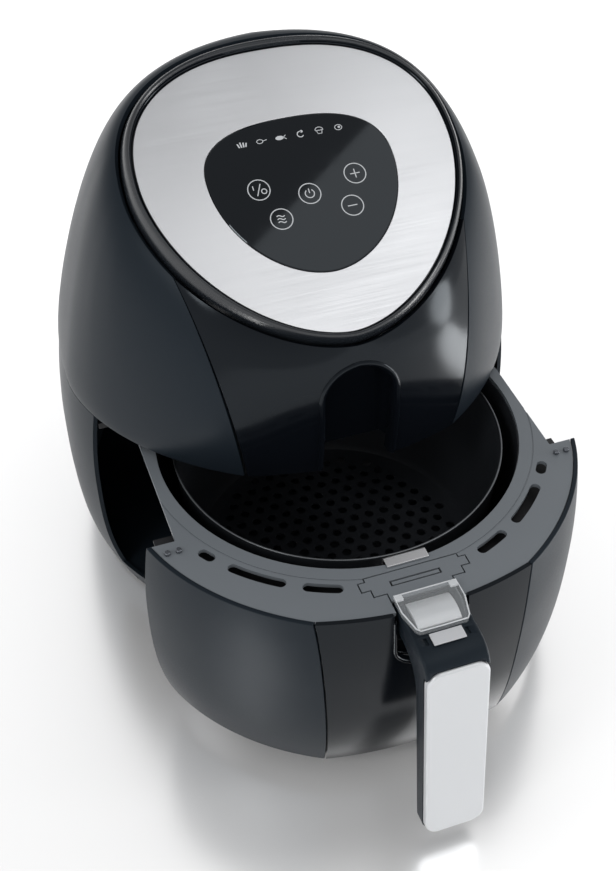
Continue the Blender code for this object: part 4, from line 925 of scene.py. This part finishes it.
pan = turned("pan_drawn", [
    (PAN_R - 20.5, PAN_FLOOR), (PAN_R - 14.5, PAN_FLOOR + 1.8), (PAN_R - 10.5, PAN_FLOOR + 6.0),
    (PAN_R - 8.5, PAN_FLOOR + 14.0), (PAN_R - 0.6, FLANGE - 8.0), (PAN_R, FLANGE), (PAN_R + 2.5, FLANGE),
    (PAN_R + 2.5, FLANGE - 1.4), (PAN_R + 1.2, FLANGE - 1.4), (PAN_R + 0.6, FLANGE - 8.2),
    (PAN_R - 7.3, PAN_FLOOR + 13.8), (PAN_R - 9.5, PAN_FLOOR + 5.2), (PAN_R - 13.9, PAN_FLOOR + 0.7),
    (PAN_R - 20.5, PAN_FLOOR - 1.2)], nonstick)
fit(pan, "drawer", "nonstick_coating", "drawer_pan")
basket = turned("basket_drawn", [
    (BASKET_R - 15.9, BASKET_FLOOR + 1.0), (BASKET_R - 11.3, BASKET_FLOOR + 2.6),
    (BASKET_R - 8.7, BASKET_FLOOR + 7.0), (BASKET_R - 1.9, BASKET_TOP - 1.6), (BASKET_R - 1.3, BASKET_TOP),
    (BASKET_R, BASKET_TOP), (BASKET_R, BASKET_TOP - 1.2), (BASKET_R - 0.8, BASKET_TOP - 1.6),
    (BASKET_R - 7.6, BASKET_FLOOR + 6.8), (BASKET_R - 10.5, BASKET_FLOOR + 1.8),
    (BASKET_R - 15.7, BASKET_FLOOR)], nonstick)
studs = [(STUD_AT * math.cos(a), STUD_AT * math.sin(a)) for a in [QUARTER + math.tau * i / 3 for i in range(3)]]
for x, y in studs:
    cut(basket, disc(4.0, PAN_FLOOR + GAP, BASKET_FLOOR + 0.4, (x, AXIS_Y + y), 24), "UNION")
PITCH = 10.1
HOLE_R = 2.9
hole_turn = [math.tau * s / 20 for s in range(20)]
punch_points = []
punch_faces = []
for j in range(-9, 10):
    for i in range(-9, 10):
        x = PITCH * (i + 0.5 * (j % 2))
        y = PITCH * math.sqrt(0.75) * j
        if math.hypot(x, y) > STUD_AT + 3.0 or min(math.hypot(x - a, y - b) for a, b in studs) < 7.4:
            continue
        k = len(punch_points)
        for z in (BASKET_FLOOR - 3, BASKET_FLOOR + 4):
            punch_points += [(x + HOLE_R * math.cos(a), AXIS_Y + y + HOLE_R * math.sin(a), z)
                             for a in hole_turn]
        punch_faces += [(k + s, k + (s + 1) % 20, k + 20 + (s + 1) % 20, k + 20 + s) for s in range(20)]
        punch_faces += [tuple(k + s for s in range(19, -1, -1)), tuple(k + 20 + s for s in range(20))]
cut(basket, join_mesh("punch", punch_points, punch_faces, nonstick, DRAWER_Y))
fit(basket, "basket", "nonstick_coating", "basket")
tube = [(BASKET_R - 0.65 + 0.60 * math.cos(a), BASKET_TOP + 0.24 + 0.22 * math.sin(a))
        for a in [math.tau * i / 12 for i in range(12)]]
loops = [[(r * math.cos(a), AXIS_Y + r * math.sin(a), z) for r, z in tube]
         for a in [math.tau * k / 180 for k in range(180)]]
rim = skin_over("basket_rim", loops, bright_rim, DRAWER_Y, ring=True, angle=60.0)
fit(rim, "basket", "sheet_steel")


# ------------------------------------------------------------------------ handle
# The handle is a hollow slate moulding that hooks through the notch of the drawer front. A silver
# lacquered plate is snapped into its face, its foot plate sits flush in the deck, and a steel strip
# under the foot plate carries the basket.
HANDLE_HALF = 17.5
GRIP_Y = -158.5
BUTTON_Y = (-117.6, -99.6)
PLATE_TOP = (-139.6, 143.0)
PLATE_LOW = (-156.4, 19.0)
side_points = [(-96.4, 144.4), (-122.0, 144.2), (-131.0, 143.6), (-137.5, 141.0), (-141.6, 136.0),
               (-143.4, 128.0), (GRIP_Y + 0.8, 26.0), (GRIP_Y + 1.6, 19.0), (GRIP_Y + 5.0, 15.6),
               (-149.6, 15.4), (-145.4, 18.6), (-143.6, 26.0), (-130.4, 112.0), (-127.0, 121.0),
               (-120.0, 127.0), (-110.0, 129.2), (-96.4, 129.6)]


def eased(points, corners, steps=5):
    """Smooths a closed outline, keeping the named corners sharp."""
    out = []
    count = len(points)
    for i in range(count):
        p0, p1, p2, p3 = (Vector(points[(i + k) % count]) for k in (-1, 0, 1, 2))
        if i in corners:
            p0 = p1
        if (i + 1) % count in corners:
            p3 = p2
        reach = (p2 - p1).length
        m1 = (p2 - p0) * min(0.5, 0.5 * reach / max(1e-6, (p2 - p0).length) * 2)
        m2 = (p3 - p1) * min(0.5, 0.5 * reach / max(1e-6, (p3 - p1).length) * 2)
        for k in range(steps):
            u = k / steps
            q = (p1 * (2 * u ** 3 - 3 * u ** 2 + 1) + m1 * (u ** 3 - 2 * u ** 2 + u)
                 + p2 * (-2 * u ** 3 + 3 * u ** 2) + m2 * (u ** 3 - u ** 2))
            out.append((q.x, q.y))
    return out


side_view = eased(side_points, (0, 16))


def across(name, outline, half, mat):
    """Piece with a side outline of (y, z) points, the same all across its width."""
    return skin_over(name, [[(x, y, z) for y, z in outline] for x in (-half, half)], mat, DRAWER_Y)


handle = across("handle_moulding", side_view, HANDLE_HALF, slate)
soften(handle, 3.4, 6, 50)
bpy.context.view_layer.update()
rounded = bpy.data.meshes.new_from_object(handle.evaluated_get(bpy.context.evaluated_depsgraph_get()))
handle.modifiers.clear()
handle.data = rounded
button_mid = 0.5 * sum(BUTTON_Y)
cut(handle, block("well", (25.0, BUTTON_Y[1] - BUTTON_Y[0] + 0.8, 30.0), (0, button_mid, 148.0), DRAWER_Y))
for sign in (-1, 1):
    cut(handle, block("latch_slot", (1.8, 4.6, 4.0), (sign * 11.4, -125.6, 145.0), DRAWER_Y))

lean = math.atan2(PLATE_TOP[0] - PLATE_LOW[0], PLATE_TOP[1] - PLATE_LOW[1])
grip_len = math.hypot(PLATE_TOP[0] - PLATE_LOW[0], PLATE_TOP[1] - PLATE_LOW[1]) - 5.5


def leaned(half, length, radius, depth, start=0.0, steps=12):
    """Rounded oblong along the face of the grip, at a depth into it."""
    out = []
    for cx, cz, a0 in ((half - radius, length - radius, 0.0), (radius - half, length - radius, 0.5),
                       (radius - half, radius, 1.0), (half - radius, radius, 1.5)):
        for i in range(steps + 1):
            a = math.pi * (a0 + 0.5 * i / steps)
            s = cz + radius * math.sin(a) + start
            out.append((cx + radius * math.cos(a), PLATE_LOW[0] + s * math.sin(lean) + depth * math.cos(lean),
                        PLATE_LOW[1] + s * math.cos(lean) - depth * math.sin(lean)))
    return out


foot_turn = [(18.2 - 9.0 + 9.0 * math.sin(a), 15.0 + 9.0 - 9.0 * math.cos(a))
             for a in [QUARTER * i / 10 for i in range(11)]]
foot_turn = [(0.0, 15.0)] + foot_turn + [(18.2, 170.0), (0.0, 170.0)]
cut(handle, skin_over("foot_round", [[(x, y, z) for x, z in mirrored(foot_turn)] for y in (-175, -85)],
                      slate, DRAWER_Y), "INTERSECT")
seat = [leaned(18.6, grip_len + 3.4, 8.4, d, -3.4) for d in (-8.0, 2.6)]
cut(handle, skin_over("seat", seat, slate, DRAWER_Y))
fit(handle, "basket", "slate_plastic", "handle_grip")
silver = grain("silver_lacquer", (0.72, 0.735, 0.75), 0.34, 0.04, 0.03, 1800.0, 0.02, 0.35)
face = skin_over("grip_face", [
    leaned(17.2, grip_len + 2.8, 8.0, 2.3, -3.1), leaned(17.2, grip_len + 2.8, 8.0, -0.9, -3.1),
    leaned(16.9, grip_len + 2.2, 7.7, -1.5, -2.8), leaned(16.0, grip_len + 0.4, 6.8, -2.0, -1.9)],
    silver, DRAWER_Y, angle=20.0)
fit(face, "basket", "silver_lacquer", "grip_plate")
refinish(satin, "handle_root")
CATCH_Y = -85.3                     # slot of the foot plate
# A thin sheet of black plastic under the slot bar shows as a dark line round it: painted shade in the gap of
# the slot.
for name, size, z, mat in (("slot_shade_sheet", (28.2, 3.4, 0.25), DECK_TOP - 1.05, dark),
                           ("slot_bar", (26.4, 2.0, 0.75), DECK_TOP - 0.56, satin)):
    fit(block(name, size, (0, CATCH_Y, z), DRAWER_Y, mat), "basket", "satin_grey_plastic")

STRIP_T = 1.2
strip_y = AXIS_Y - PAN_R + 3.5
foot_z = BASKET_TOP - 18.8
strip_side = [(strip_y - 6.2, DECK_TOP + GAP), (strip_y - 0.8, DECK_TOP + GAP), (strip_y, DECK_TOP - 0.6),
              (strip_y, foot_z), (strip_y + 6.6, foot_z), (strip_y + 6.6, foot_z + STRIP_T),
              (strip_y + STRIP_T, foot_z + STRIP_T), (strip_y + STRIP_T, DECK_TOP + 0.4),
              (strip_y - 0.2, DECK_TOP + GAP + STRIP_T), (strip_y - 6.2, DECK_TOP + GAP + STRIP_T)]
strip_steel = grain("polished_strip", (0.78, 0.78, 0.79), 0.36, 0.06, 0.08, 700.0, 0.04, 1.0)
strip = across("carrier_strip", strip_side, 11.8, strip_steel)
fit(soften(strip, 0.25), "basket", "sheet_steel", "basket_bracket")


# ------------------------------------------------------- release button and cover
# A silver button on a spring sits in the neck under a clear sliding cover that guards it. The cover
# has a rounded edge strip, a lug at each rear corner and a frosted thumb tab at its front. The strip and lugs
# are pale, nearly opaque plastic that paints the highlight its clear edges catch.
arc = [(y, 146.2 - 2.4 * ((y - button_mid) / 9.0) ** 2)
       for y in heights(BUTTON_Y[0] + 0.1, BUTTON_Y[1] - 0.1, 28)]
button_side = [(arc[0][0], 137.0)] + arc + [(arc[-1][0], 137.0)]
button = across("button_cap", button_side, 12.1, silver)
cut(button, disc(6.0, 130.0, 142.6, (0, button_mid), 40))
fit(soften(button, 0.5, 3), "button", "silver_lacquer", "release_button")
refinish(steel, "button_spring")

clear = grain("clear_plastic", (0.80, 0.83, 0.85), 0.10, 0.04, 0.02, 500.0, 0.03, alpha=0.13)
# Pale, nearly opaque plastic: a painted highlight for the clear cover's edges and corners.
edge_highlight_plastic = grain("edge_highlight_plastic", (0.86, 0.88, 0.90), 0.16, 0.04, 0.02, 500.0, 0.03, alpha=0.75)
cover_half = [(17.4, -96.6), (17.4, -108.0), (14.6, -119.6), (13.0, -121.6)]
cover_low, cover_high = (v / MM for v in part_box("button_cover"))
outside = mirrored([(0.0, -96.6)] + cover_half + [(0.0, -121.9)])
cover = slab("cover_guard", outside, cover_low[2], cover_high[2], clear, DRAWER_Y)
inside = mirrored([(0.0, -90.0), (15.9, -90.0), (15.9, -108.0), (13.2, -118.6), (12.4, -120.2), (0.0, -120.4)])
cut(cover, slab("cover_hollow", inside, 141.5, 147.3, clear, DRAWER_Y))
fit(soften(cover, 0.6, 3), "cover", "clear_plastic", "button_cover")
# Thin rounded strip along the cover's top edge, painted as the highlight on its clear edge.
edge_path = [(x, y) for x, y in mirrored([(0.0, -121.7)] + [(x - 0.2, y) for x, y in reversed(cover_half)])]
edge_z = cover_high[2] - 0.25
EDGE_R = 0.42
edge_loops = []
for i, (x, y) in enumerate(edge_path):
    way = (Vector(edge_path[(i + 1) % len(edge_path)]) - Vector(edge_path[i - 1])).normalized()
    edge_loops.append([(x + way.y * EDGE_R * math.cos(b), y - way.x * EDGE_R * math.cos(b),
                        edge_z + 0.24 * math.sin(b)) for b in [math.tau * k / 10 for k in range(10)]])
fit(skin_over("guard_edge_highlight", edge_loops, edge_highlight_plastic, DRAWER_Y, ring=True, angle=70.0), "cover", "clear_plastic")
# The rear lugs are in the same pale plastic, painted as highlights on the clear corners.
for sign, label in ((-1, "left"), (1, "right")):
    lug = block("guard_lug_" + label, (4.4, 3.4, 1.7), (sign * 15.1, -98.4, cover_high[2] - 0.86), DRAWER_Y,
                edge_highlight_plastic)
    fit(soften(lug, 0.4, 3), "cover", "clear_plastic")
frosted = grain("frosted_tab", (0.62, 0.63, 0.65), 0.42, 0.06, 0.12, 900.0, 0.04)
tab = block("cover_tab", (17.6, 7.4, 1.0), (0, -126.2, 145.15), DRAWER_Y, frosted)
fit(soften(tab, 0.4, 3), "cover", "clear_plastic")
